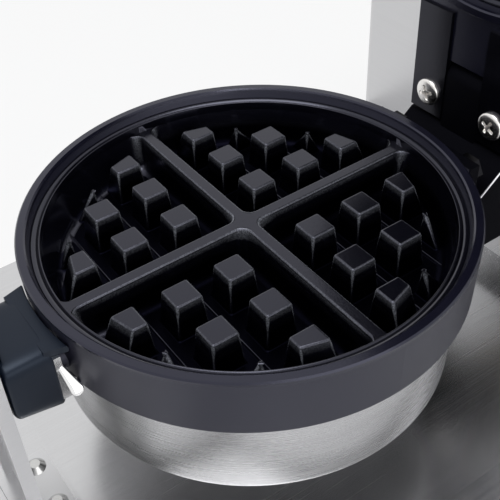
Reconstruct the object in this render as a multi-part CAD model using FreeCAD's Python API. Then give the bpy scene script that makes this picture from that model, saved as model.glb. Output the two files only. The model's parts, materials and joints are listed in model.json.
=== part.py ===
import FreeCAD, Part
import math
import os

# Round flip-over waffle maker, lid open and upright.
# Millimetres, +Z up, front (handle side) towards -Y.
# Origin: on the counter, in the middle of the part's outline from above.

V = FreeCAD.Vector
ORIGIN = V(0, 0, 0)
X_AXIS = V(1, 0, 0)
Y_AXIS = V(0, 1, 0)
Z_AXIS = V(0, 0, 1)

# Driving dimensions: grid plate
CAVITY_R = 90.0
RIM_DROP = 4.6
CAVITY_DEPTH = 21.6
POST_DROP = 4.1
POST_SIDE = 12.5
POST_PITCH = 25.6
POST_FIRST = 21.5
POST_ROUND = 1.4
POST_BEVEL = 0.9
POST_DRAFT = 5.0
POST_ROWS = 3
CLIP_GAP = 11.7
RIB_DROP = 3.2
DIVIDER_W = 6.0
POCKET_R = 5.0
WALL_DRAFT = 12.0
RIDGE_W = 1.8
RIDGE_H = 1.0
FLOOR_T = 4.0
FLANGE_W = 4.1
FLANGE_T = 3.0
GROOVE_IN = 0.6
GROOVE_W = 1.6
GROOVE_D = 1.2
PLATE_WALL = 1.5

# Driving dimensions: collar
RIM_W = 4.5
RIM_SLOPE = 1.2
RIM_EDGE = 0.7
COLLAR_H = 28.8
COLLAR_TAPER = 0.8
COLLAR_WALL = 4.4
SEAT_W = 2.4
BOWL_RECESS = 4.3

# Driving dimensions: bowl, heater and what clamps them
BOWL_DEPTH = 76.0
BOWL_TAPER = 2.2
BOWL_ROUND = 4.0
BOWL_T = 1.0
HEATER_R = 58.0
HEATER_TUBE_R = 4.0
HEATER_SEAT_W = 14.0
HEATER_ARC = 330.0
HEATER_TAIL = 16.0
SHIELD_R = 80.0
SHIELD_T = 1.0
SHIELD_LIP = 5.0
STUD_R = 4.0
STUD_BOSS_R = 9.0
STUD_BOSS_H = 8.0
NUT_ACROSS = 13.0
NUT_H = 6.5
DIMPLE_R = 15.0
SENSOR_R = 3.0
SENSOR_L = 60.0
SENSOR_Y = -28.0
CUTOUT_R = 9.0

# Driving dimensions: handles and their brackets
BLOCK_W = 41.0
BLOCK_LEN = 24.5
BLOCK_DROP = 6.5
BLOCK_H = 31.0
BLOCK_RISE = 4.5
BLOCK_ROUND = 3.0
BLOCK_BEVEL = 1.5
BLOCK_LIP_T = 3.2
BLOCK_NOSE_W = 36.0
BLOCK_NOSE_L = 9.0
NECK_R = 14.0
GUARD_R = 19.0
GUARD_T = 4.0
GRIP_LEN = 110.0
GRIP_R = 18.0
GRIP_END_R = 15.0
GRIP_ROUND = 6.0
BRACKET_T = 3.0
BRACKET_W = 43.0
BRACKET_GAP = 2.0
BRACKET_RISE = 4.3
GUSSET_DROP = 9.0
HANDLE_SCREW_R = 2.5
HANDLE_SCREW_HEAD_R = 4.6
HANDLE_SCREW_HEAD_H = 2.8
HANDLE_SCREW_GRIP = 14.0
HANDLE_SCREW_PITCH = 22.0
HANDLE_SCREW_DROP = 20.0
HANDLE_BOSS_R = 6.0

# Driving dimensions: lid hinge
PIN_R = 4.0
PIN_BACK = 36.6
ARM_W = 20.6
ARM_T = 16.2
ARM_IN = 11.4
ARM_TAIL = 24.6
ARM_BEVEL = 0.7
LID_OPEN = 90.0
PAD_OUT = 3.0
PAD_W = 65.0
YOKE_PAD_TOP = 10.5
YOKE_PAD_H = 17.0
LID_PAD_TOP = 1.5
LID_PAD_H = 16.5
ARM_SCREW_BACK = 12.0
ARM_SCREW_IN = 9.1
ARM_SCREW_R = 3.0
ARM_HEAD_R = 7.0
ARM_HEAD_H = 2.8
ARM_BOLT_R = 3.0
ARM_BOLT_HEAD_R = 5.0
ARM_BOLT_HEAD_H = 5.0
ARM_BOLT_GRIP = 16.0
STOP_BAR_T = 5.0
STOP_BAR_H = 11.6
PIN_HEAD_R = 7.0
PIN_HEAD_T = 2.5
CLIP_T = 1.2

# Driving dimensions: yoke and shaft
LUG_R = 7.6
BUSH_WALL = 1.5
YOKE_W = 66.0
YOKE_FLANGE_T = 6.0
YOKE_SLOPE_DROP = 35.4
YOKE_SLOPE = 38.7
YOKE_BOTTOM = 67.0
YOKE_WALL = 6.0
YOKE_BOLT_PITCH = 48.0
YOKE_BOLT_DROP = 19.4
YOKE_BOLT_R = 4.0
YOKE_BOLT_ACROSS = 13.0
YOKE_BOLT_HEAD = 5.5
YOKE_BOLT_GRIP = 13.0
BOSS_R = 17.0
BOSS_SOCKET = 37.0
SHAFT_R = 12.5
SHAFT_BORE_R = 8.5
SHAFT_PIN_R = 3.0
BEARING_LEN = 70.0
BEARING_BUSH_L = 20.0
BEARING_BUSH_WALL = 3.5
BEARING_FLANGE_T = 2.0
BEARING_TUBE_R = 20.0
HOUSING_SQUARE = 76.0
HOUSING_T = 6.0
HOUSING_BOLT_PITCH = 56.0
HOUSING_BOLT_R = 4.0
SHAFT_COLLAR_R = 19.0
SHAFT_COLLAR_T = 9.7

# Driving dimensions: tower, base and tray
AXIS_H = 157.0
TOWER_W = 312.0
TOWER_D = 102.0
TOWER_H = 290.0
TOWER_ROUND = 8.0
SHEET = 1.5
RETURN_W = 14.0
LID_CLEAR = 3.1
DECK_H = 48.0
FOOT_H = 10.0
FOOT_R = 14.0
FOOT_TAPER = 2.0
FOOT_INSET = 25.0
FRONT_EDGE = 4.5
WINDOW_W = 224.0
WINDOW_FRONT = 8.0
WINDOW_BACK = 62.0
TRAY_W = 232.0
TRAY_DEPTH = 14.7
TRAY_T = 1.2
TRAY_OVERLAP = 4.0
TRAY_FACE_W = 244.0
TRAY_FACE_H = 35.0
TRAY_PULL = 10.0
RUNNER_W = 42.5
RUNNER_T = 1.3
RUNNER_H = 14.5
PILLAR_W = 120.0
PILLAR_TOP = 50.0
PILLAR_T = 4.0
PILLAR_D = 60.0
VENT_W = 60.0
VENT_H = 4.0
VENT_PITCH = 10.0
VENT_COUNT = 6
VENT_X = 70.0
VENT_Z = 150.0
COVER_SCREW_R = 2.0
GLAND_X = -100.0
GLAND_Z = 75.0
GLAND_R = 10.0
GLAND_BORE_R = 4.5
GLAND_LEN = 18.0

# Driving dimensions: front support
SUPPORT_W = 40.0
SUPPORT_D = 6.0
SUPPORT_T = 2.0
SUPPORT_OVER = 6.0
SUPPORT_FOOT = 15.0
SUPPORT_SCREW_PITCH = 24.0
SUPPORT_SCREW_R = 2.5

# Driving dimensions: controls on the tower's sides
CONTROL_BACK = 51.0
THERMOSTAT_Z = 190.0
TIMER_Z = 190.0
SWITCH_Z = 122.0
LAMP_BACK = 80.0
KNOB_R = 20.0
KNOB_SKIRT_T = 3.0
KNOB_TOP_R = 16.0
KNOB_TAPER = 1.6
KNOB_H = 20.0
KNOB_RIB_W = 5.0
STEM_R = 3.0
STEM_L = 12.0
CONTROL_BODY = 40.0
CONTROL_BODY_D = 38.0
CONTROL_BUSH_R = 5.0
SWITCH_BEZEL_W = 22.0
SWITCH_BEZEL_H = 30.0
SWITCH_BODY_W = 18.0
SWITCH_BODY_H = 26.0
SWITCH_BODY_D = 24.0
BEZEL_T = 2.0
ROCKER_W = 14.4
ROCKER_L = 20.0
ROCKER_TILT = 8.0
LAMP_R = 5.0
LAMP_D = 22.0
LAMP_DOME = 4.0
TERMINAL_W = 50.0
TERMINAL_D = 22.0
TERMINAL_H = 18.0

# Clearances
PARTING_GAP = 0.4
SEAT_GAP = 0.2
TOUCH_GAP = 0.1
SWING_GAP = 0.8
SIDE_GAP = 0.5
STOP_GAP = 0.3
WEB_GAP = 1.5
RUN_FIT = 0.04
HOLE_FIT = 0.1
NOTCH_FIT = 0.4
SUPPORT_GAP = 1.0
NUT_GAP = 0.6
LIP_GAP = 1.0
TRAY_GAP = 0.3
SLOT_GAP = 1.5
WALL_GAP = 0.2

# Worked out: levels of a half, counted down from its rim
FLANGE_Z = -RIM_DROP
SEAT_Z = FLANGE_Z - FLANGE_T
POST_Z = FLANGE_Z - POST_DROP
FLOOR_Z = FLANGE_Z - CAVITY_DEPTH
UNDER_Z = FLOOR_Z - FLOOR_T
HEATER_Z = UNDER_Z - HEATER_TUBE_R - HOLE_FIT
SHIELD_Z = HEATER_Z - HEATER_TUBE_R - TOUCH_GAP
POCKET_DEPTH = POST_Z - FLOOR_Z
POST_SPREAD = POCKET_DEPTH * math.tan(math.radians(POST_DRAFT))

# Worked out: radii of a half
FLANGE_R = CAVITY_R + FLANGE_W
SEAT_R = FLANGE_R + SEAT_GAP
SEAT_IN_R = SEAT_R - SEAT_W
PAN_R = SEAT_R + RIM_SLOPE + RIM_W
COLLAR_FOOT_R = PAN_R - COLLAR_TAPER
BOWL_R = COLLAR_FOOT_R - COLLAR_WALL - WALL_GAP
MOUTH_R = CAVITY_R - POST_DROP * math.tan(math.radians(POST_DRAFT))
POCKET_FLOOR_R = MOUTH_R - POCKET_DEPTH * math.tan(math.radians(WALL_DRAFT))
CLIP_R = CAVITY_R - CLIP_GAP

# Worked out: places along Y, in the head
BLOCK_Y = -(PAN_R + BLOCK_LEN)
SUPPORT_Y = BLOCK_Y - SUPPORT_GAP
NECK_LEN = SUPPORT_D + 2 * SUPPORT_GAP
GRIP_Y = BLOCK_Y - NECK_LEN
BRACKET_Y = -(PAN_R + BRACKET_GAP)
PAD_Y = PAN_R + PAD_OUT
PIN_Y = PAN_R + PIN_BACK
PIN_Z = PARTING_GAP / 2 + ARM_T / 2
SWEEP_R = math.hypot(ARM_TAIL, ARM_T / 2) + SWING_GAP
BOSS_Y = PIN_Y + SWEEP_R + SIDE_GAP
TOWER_Y = PIN_Y - PIN_Z + PARTING_GAP / 2 + BOWL_DEPTH + LID_CLEAR
BUSH_Y = TOWER_Y - BEARING_FLANGE_T
BOSS_END_Y = BUSH_Y - STOP_GAP
BUSH_OUT_R = SHAFT_R + RUN_FIT + BEARING_BUSH_WALL
BEARING_END_Y = TOWER_Y + BEARING_LEN
TOWER_BACK_Y = TOWER_Y + TOWER_D
LUG_HALF_W = ARM_IN - SIDE_GAP
ARM_OUT = ARM_IN + ARM_W
HINGE_BUSH_R = PIN_R + RUN_FIT + BUSH_WALL
ARM_BOLT_DROP = ARM_BOLT_HEAD_R + HOLE_FIT + TOUCH_GAP - SEAT_Z

# Worked out: base, tray and support
FRONT_Y = SUPPORT_Y - SUPPORT_D - FRONT_EDGE
WINDOW_Y0 = -(PAN_R + WINDOW_FRONT)
WINDOW_Y1 = PAN_R + WINDOW_BACK
DECK_UNDER = DECK_H - SHEET
TRAY_TOP = DECK_UNDER - TRAY_GAP
TRAY_FLOOR = TRAY_TOP - TRAY_DEPTH
TRAY_Y1 = WINDOW_Y1 + TRAY_OVERLAP
SIDE_X = TOWER_W / 2
CONTROL_Y = TOWER_Y + CONTROL_BACK
LAMP_Y = TOWER_Y + LAMP_BACK
NUT_REACH = NUT_H + NUT_ACROSS / 2
DIMPLE_Z = -BOWL_DEPTH + NUT_REACH + NUT_GAP

# Worked out: where the head's centre stands from the middle of the outline
FRONT_END = GRIP_Y - GRIP_LEN
BACK_END = TOWER_BACK_Y + SHEET + GLAND_LEN
HEAD_Y = -(FRONT_END + BACK_END) / 2


def box(x0, x1, y0, y1, z0, z1):
    return Part.makeBox(x1 - x0, y1 - y0, z1 - z0, V(x0, y0, z0))


def rod(radius, start, end):
    return Part.makeCylinder(radius, (end - start).Length, start, end - start)


def tube(outer, inner, start, end):
    return rod(outer, start, end).cut(rod(inner, start, end))


def polygon(points):
    return Part.Face(Part.makePolygon(points + [points[0]]))


def prism_x(points, x0, x1):
    """Extrude a (y, z) outline along X."""
    return polygon([V(x0, y, z) for y, z in points]).extrude(V(x1 - x0, 0, 0))


def prism_z(points, z0, z1):
    """Extrude an (x, y) outline along Z."""
    return polygon([V(x, y, z0) for x, y in points]).extrude(V(0, 0, z1 - z0))


def turned(points):
    """Revolve a closed (radius, z) outline about Z."""
    return polygon([V(r, 0, z) for r, z in points]).revolve(ORIGIN, Z_AXIS, 360)


def hexagon(across, start, end):
    """A hexagonal bar between two points, with its flats at the given distance."""
    corner = across / math.sqrt(3)
    points = []
    for k in range(6):
        angle = math.radians(60 * k)
        points.append(V(corner * math.cos(angle), corner * math.sin(angle), 0))
    bar = polygon(points).extrude(V(0, 0, (end - start).Length))
    bar.Placement = FreeCAD.Placement(start, FreeCAD.Rotation(Z_AXIS, end - start))
    return bar


def fused(shapes):
    return shapes[0].multiFuse(shapes[1:]).removeSplitter()


def both_sides(shape):
    """The shape and its mirror image across the middle plane, as separate solids."""
    return Part.makeCompound([shape, shape.mirror(ORIGIN, X_AXIS)])


def left_side(shape):
    return shape.mirror(ORIGIN, X_AXIS)


def place_lower(shape):
    """Put a half, built with its rim at height zero, under the parting plane."""
    return shape.translated(V(0, 0, AXIS_H - PARTING_GAP / 2))


def place_lid(shape):
    """Turn a half over onto the lower one, then open it about the hinge pin."""
    lid = shape.copy()
    lid.translate(V(0, 0, -PARTING_GAP / 2))
    lid.rotate(ORIGIN, Y_AXIS, 180)
    lid.rotate(V(0, PIN_Y, PIN_Z), X_AXIS, -LID_OPEN)
    lid.translate(V(0, 0, AXIS_H))
    return lid


def place_axis(shape):
    """Lift a piece built about the flip axis to its height over the counter."""
    return shape.translated(V(0, 0, AXIS_H))


# Grid plate
def rounded_square(cx, cy, half, radius, z):
    """A square wire with round corners, centred on (cx, cy)."""
    edges = []
    inner = half - radius
    turn = radius * math.sqrt(0.5)
    corners = [(1, 1), (-1, 1), (-1, -1), (1, -1)]
    for k, (sx, sy) in enumerate(corners):
        px, py = cx + sx * inner, cy + sy * inner
        on_x = V(px + sx * radius, py, z)
        on_y = V(px, py + sy * radius, z)
        middle = V(px + sx * turn, py + sy * turn, z)
        first, last = (on_x, on_y) if k % 2 == 0 else (on_y, on_x)
        edges.append(Part.Arc(first, middle, last).toShape())
    joined = []
    for k, arc in enumerate(edges):
        follow = edges[(k + 1) % len(edges)]
        joined.append(arc)
        joined.append(Part.LineSegment(arc.Vertexes[-1].Point, follow.Vertexes[0].Point).toShape())
    return Part.Wire(joined)


def post(cx, cy, drop):
    """One drafted post with rounded corners and a bevelled top, standing on the cavity floor."""
    top = POST_Z - drop
    half = POST_SIDE / 2 + drop * math.tan(math.radians(POST_DRAFT))
    base_half = POST_SIDE / 2 + POST_SPREAD
    shoulder = half + POST_BEVEL * math.tan(math.radians(POST_DRAFT))
    sections = [
        rounded_square(cx, cy, base_half, POST_ROUND, FLOOR_Z),
        rounded_square(cx, cy, shoulder, POST_ROUND, top - POST_BEVEL),
        rounded_square(cx, cy, half - POST_BEVEL, POST_ROUND / 2, top),
    ]
    return Part.makeLoft(sections, True, True)


def pocket_wire(half_gap, radius, z):
    """Outline of one quarter pocket, with round corners."""
    reach = math.sqrt(radius ** 2 - half_gap ** 2)
    mid = radius * math.sqrt(0.5)
    corner = V(half_gap, half_gap, z)
    on_x = V(reach, half_gap, z)
    on_y = V(half_gap, reach, z)
    edges = [
        Part.LineSegment(corner, on_x).toShape(),
        Part.Arc(on_x, V(mid, mid, z), on_y).toShape(),
        Part.LineSegment(on_y, corner).toShape(),
    ]
    rounded = Part.Face(Part.Wire(edges)).makeOffset2D(-POCKET_R).makeOffset2D(POCKET_R)
    return rounded.Wires[0]


def quarter_pocket():
    top = pocket_wire(DIVIDER_W / 2, MOUTH_R, POST_Z)
    bottom = pocket_wire(DIVIDER_W / 2 + POST_SPREAD, POCKET_FLOOR_R, FLOOR_Z)
    return Part.makeLoft([bottom, top], True, True)


def clip_block(x, y):
    """Block whose outer face, drafted and bevelled like a post's side, cuts a post that stands at (x, y)."""
    block = prism_x([
        (0, FLOOR_Z),
        (CLIP_R + POST_SPREAD, FLOOR_Z),
        (CLIP_R + POST_BEVEL * math.tan(math.radians(POST_DRAFT)), POST_Z - POST_BEVEL),
        (CLIP_R - POST_BEVEL, POST_Z),
        (0, POST_Z),
    ], -CAVITY_R, CAVITY_R)
    block.rotate(ORIGIN, Z_AXIS, -math.degrees(math.atan2(x, y)))
    return block


def quarter_posts():
    """Posts, clipped posts and wall ribs of one quarter, by how far out each one stands."""
    posts = []
    wall = Part.makeCylinder(MOUTH_R, POCKET_DEPTH, V(0, 0, FLOOR_Z))
    places = [POST_FIRST + k * POST_PITCH for k in range(POST_ROWS)]
    for x in places:
        for y in places:
            inner_corner = math.hypot(x - POST_SIDE / 2, y - POST_SIDE / 2)
            outer_corner = math.hypot(x + POST_SIDE / 2 + POST_SPREAD, y + POST_SIDE / 2 + POST_SPREAD)
            if outer_corner < CLIP_R:
                posts.append(post(x, y, 0))
            elif math.hypot(x, y) < CLIP_R:
                posts.append(post(x, y, 0).common(clip_block(x, y)))
            elif inner_corner < POCKET_FLOOR_R:
                posts.append(post(x, y, RIB_DROP).common(wall))
    return posts


def quarter_ridges():
    """Low ridges along the floor, midway between the rows of posts."""
    ridges = []
    start = DIVIDER_W / 2
    for k in range(1, POST_ROWS):
        y = POST_FIRST + (k - 0.5) * POST_PITCH
        outline = [(y - RIDGE_W / 2, FLOOR_Z), (y + RIDGE_W / 2, FLOOR_Z), (y, FLOOR_Z + RIDGE_H)]
        reach = math.sqrt(POCKET_FLOOR_R ** 2 - (y + RIDGE_W / 2) ** 2)
        ridges.append(prism_x(outline, start, reach))
    return ridges


def grid_plate():
    """Cast plate: flange, cavity wall, four pockets with posts, heater seat and stud boss."""
    under_r = POCKET_FLOOR_R + PLATE_WALL
    groove_r = CAVITY_R + GROOVE_IN
    blank = turned([
        (0, UNDER_Z),
        (under_r, UNDER_Z),
        (CAVITY_R + PLATE_WALL, SEAT_Z),
        (FLANGE_R, SEAT_Z),
        (FLANGE_R, FLANGE_Z),
        (groove_r + GROOVE_W, FLANGE_Z),
        (groove_r + GROOVE_W / 2, FLANGE_Z - GROOVE_D),
        (groove_r, FLANGE_Z),
        (CAVITY_R, FLANGE_Z),
        (MOUTH_R, POST_Z),
        (0, POST_Z),
    ])
    pocket = quarter_pocket()
    quarter = quarter_posts() + quarter_ridges()
    pockets = []
    details = []
    for mirror_x in (False, True):
        for mirror_y in (False, True):
            pockets.append(in_quarter(pocket, mirror_x, mirror_y))
            details += [in_quarter(piece, mirror_x, mirror_y) for piece in quarter]
    half_w = HEATER_SEAT_W / 2
    seat = turned([
        (HEATER_R - half_w, UNDER_Z),
        (HEATER_R + half_w, UNDER_Z),
        (HEATER_R + half_w, HEATER_Z),
        (HEATER_R - half_w, HEATER_Z),
    ])
    seat = seat.cut(Part.makeTorus(HEATER_R, HEATER_TUBE_R + HOLE_FIT, V(0, 0, HEATER_Z)))
    boss = rod(STUD_BOSS_R, V(0, 0, UNDER_Z), V(0, 0, UNDER_Z - STUD_BOSS_H))
    plate = fused([blank.cut(Part.makeCompound(pockets))] + details + [seat, boss])
    return plate.cut(rod(STUD_R + HOLE_FIT, V(0, 0, UNDER_Z), V(0, 0, UNDER_Z - STUD_BOSS_H)))


def in_quarter(shape, mirror_x, mirror_y):
    moved = shape
    if mirror_x:
        moved = moved.mirror(ORIGIN, X_AXIS)
    if mirror_y:
        moved = moved.mirror(ORIGIN, Y_AXIS)
    return moved


# Collar
def collar(pad_top, pad_height):
    """Cast ring that seats the plate, with handle bosses in front and a hinge pad behind."""
    rim_in = PAN_R - RIM_W
    foot_in = COLLAR_FOOT_R - COLLAR_WALL
    recess_z = BOWL_RECESS - COLLAR_H
    ring = turned([
        (SEAT_IN_R, SEAT_Z),
        (SEAT_R, SEAT_Z),
        (SEAT_R, FLANGE_Z),
        (rim_in, -RIM_EDGE),
        (rim_in + RIM_EDGE, 0),
        (PAN_R - RIM_EDGE, 0),
        (PAN_R, -RIM_EDGE),
        (COLLAR_FOOT_R, -COLLAR_H),
        (foot_in, -COLLAR_H),
        (foot_in, recess_z),
        (SEAT_IN_R, recess_z),
    ])
    inside = Part.makeCylinder(PAN_R - RIM_W, COLLAR_H, V(0, 0, -COLLAR_H))
    pad = box(-PAD_W / 2, PAD_W / 2, 0, PAD_Y, -pad_top - pad_height, -pad_top).cut(inside)
    bosses = [rod(HANDLE_BOSS_R, at, V(at.x, BRACKET_Y, at.z)).cut(inside) for at in handle_screw_points()]
    body = fused([ring, pad] + bosses)
    return body.cut(handle_screw_holes(HOLE_FIT))


def handle_screw_points():
    """Where the screw heads bear, inside the collar wall."""
    x = HANDLE_SCREW_PITCH / 2
    y = -math.sqrt(SEAT_IN_R ** 2 - (x - HANDLE_SCREW_HEAD_R) ** 2) - HANDLE_SCREW_HEAD_H
    return [V(side * x, y, -HANDLE_SCREW_DROP) for side in (-1, 1)]


def handle_screw(at, fit):
    head = rod(HANDLE_SCREW_HEAD_R + fit, at + V(0, HANDLE_SCREW_HEAD_H, 0), at)
    end = V(at.x, BRACKET_Y - BRACKET_T - HANDLE_SCREW_GRIP, at.z)
    return head.fuse(rod(HANDLE_SCREW_R + fit, at, end)).removeSplitter()


def handle_screws():
    return Part.makeCompound([handle_screw(at, 0) for at in handle_screw_points()])


def handle_screw_holes(fit):
    return Part.makeCompound([handle_screw(at, fit) for at in handle_screw_points()])


def lower_collar():
    holes = Part.makeCompound([yoke_bolt(side, HOLE_FIT) for side in (-1, 1)])
    holes.translate(V(0, 0, PARTING_GAP / 2))
    return collar(YOKE_PAD_TOP, YOKE_PAD_H).cut(holes)


def lid_collar():
    """Collar with a cast web that fills the gap between the arms as far as the yoke's lug."""
    holes = Part.makeCompound([arm_bolt(side, HOLE_FIT) for side in (-1, 1)])
    half = ARM_IN - TOUCH_GAP
    web = box(-half, half, PAN_R, PIN_Y - LUG_R - WEB_GAP, -LID_PAD_TOP - LID_PAD_H, -LID_PAD_TOP)
    return collar(LID_PAD_TOP, LID_PAD_H).fuse(web).removeSplitter().cut(holes)


# Bowl and what it covers
def bowl_body(skin):
    """Solid of the spun bowl, drawn in by the given skin thickness."""
    top = BOWL_RECESS - COLLAR_H - TOUCH_GAP
    foot_r = BOWL_R - BOWL_TAPER
    round_in = (BOWL_ROUND - skin) * (1 - math.sqrt(0.5))
    middle = V(foot_r - skin - round_in, 0, -BOWL_DEPTH + skin + round_in)
    points = [
        V(0, 0, top),
        V(BOWL_R - skin, 0, top),
        V(foot_r - skin, 0, -BOWL_DEPTH + BOWL_ROUND),
        V(foot_r - BOWL_ROUND, 0, -BOWL_DEPTH + skin),
        V(0, 0, -BOWL_DEPTH + skin),
    ]
    edges = [
        Part.LineSegment(points[0], points[1]).toShape(),
        Part.LineSegment(points[1], points[2]).toShape(),
        Part.Arc(points[2], middle, points[3]).toShape(),
        Part.LineSegment(points[3], points[4]).toShape(),
        Part.LineSegment(points[4], points[0]).toShape(),
    ]
    return Part.Face(Part.Wire(edges)).revolve(ORIGIN, Z_AXIS, 360)


def bowl():
    """Spun bowl with a dimple in its bottom that takes the nut."""
    bottom = V(0, 0, -BOWL_DEPTH)
    dimple = V(0, 0, DIMPLE_Z)
    shell = bowl_body(0).cut(bowl_body(BOWL_T))
    shell = shell.fuse(rod(DIMPLE_R + BOWL_T, bottom, dimple + V(0, 0, BOWL_T))).removeSplitter()
    shell = shell.cut(rod(DIMPLE_R, bottom, dimple))
    return shell.cut(rod(STUD_R + HOLE_FIT, dimple, dimple + V(0, 0, BOWL_T)))


def heater():
    """Tubular ring heater, open at the back, with both ends bent down."""
    gap = math.radians(360 - HEATER_ARC) / 2
    start = V(HEATER_R * math.sin(gap), HEATER_R * math.cos(gap), HEATER_Z)
    tangent = V(math.cos(gap), -math.sin(gap), 0)
    ring = Part.Face(Part.Wire(Part.makeCircle(HEATER_TUBE_R, start, tangent)))
    ring = ring.revolve(ORIGIN, Z_AXIS, -HEATER_ARC)
    pieces = [ring]
    for side in (-1, 1):
        end = V(side * start.x, start.y, start.z)
        pieces.append(Part.makeSphere(HEATER_TUBE_R, end))
        pieces.append(rod(HEATER_TUBE_R, end, end - V(0, 0, HEATER_TAIL)))
    return fused(pieces)


def heat_shield():
    """Dished sheet under the heater, with holes for the heater tails."""
    shield = turned([
        (STUD_BOSS_R, SHIELD_Z - SHIELD_T),
        (SHIELD_R, SHIELD_Z - SHIELD_T),
        (SHIELD_R, SHIELD_Z + SHIELD_LIP),
        (SHIELD_R - SHIELD_T, SHIELD_Z + SHIELD_LIP),
        (SHIELD_R - SHIELD_T, SHIELD_Z),
        (STUD_BOSS_R, SHIELD_Z),
    ])
    gap = math.radians(360 - HEATER_ARC) / 2
    tail = rod(HEATER_TUBE_R + SIDE_GAP, V(HEATER_R * math.sin(gap), HEATER_R * math.cos(gap), SHIELD_Z),
               V(HEATER_R * math.sin(gap), HEATER_R * math.cos(gap), SHIELD_Z - SHIELD_T))
    return shield.cut(both_sides(tail))


def stud():
    return rod(STUD_R, V(0, 0, UNDER_Z - TOUCH_GAP), V(0, 0, DIMPLE_Z - NUT_H))


def nut():
    """Domed nut that clamps the bowl to the collar."""
    face = DIMPLE_Z
    corner = NUT_ACROSS / 2
    body = hexagon(NUT_ACROSS, V(0, 0, face - NUT_H), V(0, 0, face))
    dome = Part.makeSphere(corner, V(0, 0, face - NUT_H))
    dome = dome.cut(box(-corner, corner, -corner, corner, face - NUT_H, face + corner))
    bore = rod(STUD_R + HOLE_FIT, V(0, 0, face), V(0, 0, face - NUT_H - TOUCH_GAP))
    return fused([body, dome]).cut(bore)


def sensor():
    z = UNDER_Z - SENSOR_R - TOUCH_GAP
    return rod(SENSOR_R, V(-SENSOR_L / 2, SENSOR_Y, z), V(SENSOR_L / 2, SENSOR_Y, z))


def cutout():
    top = UNDER_Z - TOUCH_GAP
    return rod(CUTOUT_R, V(0, SENSOR_Y, top), V(0, SENSOR_Y, SHIELD_Z + TOUCH_GAP))


# Handle and bracket
def block_section(y, low):
    """Upright section of the block, bevelled above and round below."""
    half = BLOCK_W / 2
    top = -BLOCK_DROP
    turn = BLOCK_ROUND * (1 - math.sqrt(0.5))
    points = [
        V(-half, y, low + BLOCK_ROUND),
        V(-half, y, top - BLOCK_BEVEL),
        V(-half + BLOCK_BEVEL, y, top),
        V(half - BLOCK_BEVEL, y, top),
        V(half, y, top - BLOCK_BEVEL),
        V(half, y, low + BLOCK_ROUND),
        V(half - BLOCK_ROUND, y, low),
        V(-half + BLOCK_ROUND, y, low),
    ]
    edges = [Part.LineSegment(points[k], points[k + 1]).toShape() for k in range(5)]
    edges.append(Part.Arc(points[5], V(half - turn, y, low + turn), points[6]).toShape())
    edges.append(Part.LineSegment(points[6], points[7]).toShape())
    edges.append(Part.Arc(points[7], V(-half + turn, y, low + turn), points[0]).toShape())
    return Part.Wire(edges)


def handle_block():
    """Block between bracket and neck, deeper at the back, with a lip that reaches the collar."""
    half = BLOCK_W / 2
    top = -BLOCK_DROP
    low = top - BLOCK_H
    nose_y = BRACKET_Y - BRACKET_T
    nose = BLOCK_NOSE_W / 2
    block = Part.makeLoft([block_section(BLOCK_Y, low + BLOCK_RISE), block_section(nose_y, low)], True, True)
    tip_y = nose_y + BLOCK_NOSE_L
    lip = prism_z([(-half, nose_y), (-nose, tip_y), (nose, tip_y), (half, nose_y)],
                  top - BLOCK_LIP_T, top - BLOCK_BEVEL)
    crown_half = half - BLOCK_BEVEL
    crown_nose = nose - BLOCK_BEVEL
    crown = prism_z([(-crown_half, nose_y), (-crown_nose, tip_y), (crown_nose, tip_y), (crown_half, nose_y)],
                    top - BLOCK_BEVEL, top)
    pan = Part.makeCylinder(PAN_R + LIP_GAP, PAN_R, V(0, 0, -PAN_R))
    return fused([block, lip.cut(pan), crown.cut(pan)])


def handle_grip():
    """Half-round neck, guard and swelling grip, turned about the flip axis."""
    end_y = GRIP_Y - GRIP_LEN
    guard_y = GRIP_Y - GUARD_T
    mid_y = (guard_y + end_y) / 2
    round_y = end_y + GRIP_ROUND
    turn = GRIP_ROUND * (1 - math.sqrt(0.5))
    start = V(0, BLOCK_Y, 0)
    points = [
        V(NECK_R, start.y, 0),
        V(NECK_R, GRIP_Y, 0),
        V(GUARD_R, GRIP_Y, 0),
        V(GUARD_R, guard_y, 0),
        V(GRIP_END_R, guard_y, 0),
        V(GRIP_END_R, round_y, 0),
        V(GRIP_END_R - GRIP_ROUND, end_y, 0),
        V(0, end_y, 0),
    ]
    edges = [Part.LineSegment(start, points[0]).toShape()]
    edges += [Part.LineSegment(points[k], points[k + 1]).toShape() for k in range(4)]
    edges.append(Part.Arc(points[4], V(GRIP_R, mid_y, 0), points[5]).toShape())
    edges.append(Part.Arc(points[5], V(GRIP_END_R - turn, end_y + turn, 0), points[6]).toShape())
    edges.append(Part.LineSegment(points[6], points[7]).toShape())
    edges.append(Part.LineSegment(points[7], start).toShape())
    return Part.Face(Part.Wire(edges)).revolve(ORIGIN, Y_AXIS, 180)


def handle():
    return fused([handle_block(), handle_grip()]).cut(handle_screw_holes(HOLE_FIT))


def bracket():
    """Bright bent bracket: a web behind the block and two gussets that reach in under the rim."""
    half = BRACKET_W / 2
    top = -BLOCK_DROP - BLOCK_LIP_T - TOUCH_GAP
    low = -BLOCK_DROP - BLOCK_H + BRACKET_RISE
    back = BRACKET_Y - BRACKET_T + TOUCH_GAP
    web = box(-half, half, back, BRACKET_Y, low, top)
    gusset = prism_x([
        (BRACKET_Y, top - GUSSET_DROP),
        (-COLLAR_FOOT_R + COLLAR_WALL, -COLLAR_H),
        (-COLLAR_FOOT_R + COLLAR_WALL, low),
        (BRACKET_Y, low),
    ], half - BRACKET_T, half)
    reach = Part.makeCylinder(PAN_R + TOUCH_GAP, COLLAR_H, V(0, 0, -COLLAR_H))
    under = Part.makeCylinder(COLLAR_FOOT_R, COLLAR_H, V(0, 0, -2 * COLLAR_H))
    gussets = both_sides(gusset).cut(reach).cut(under)
    return fused([web] + gussets.Solids).cut(handle_screw_holes(HOLE_FIT))


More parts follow.
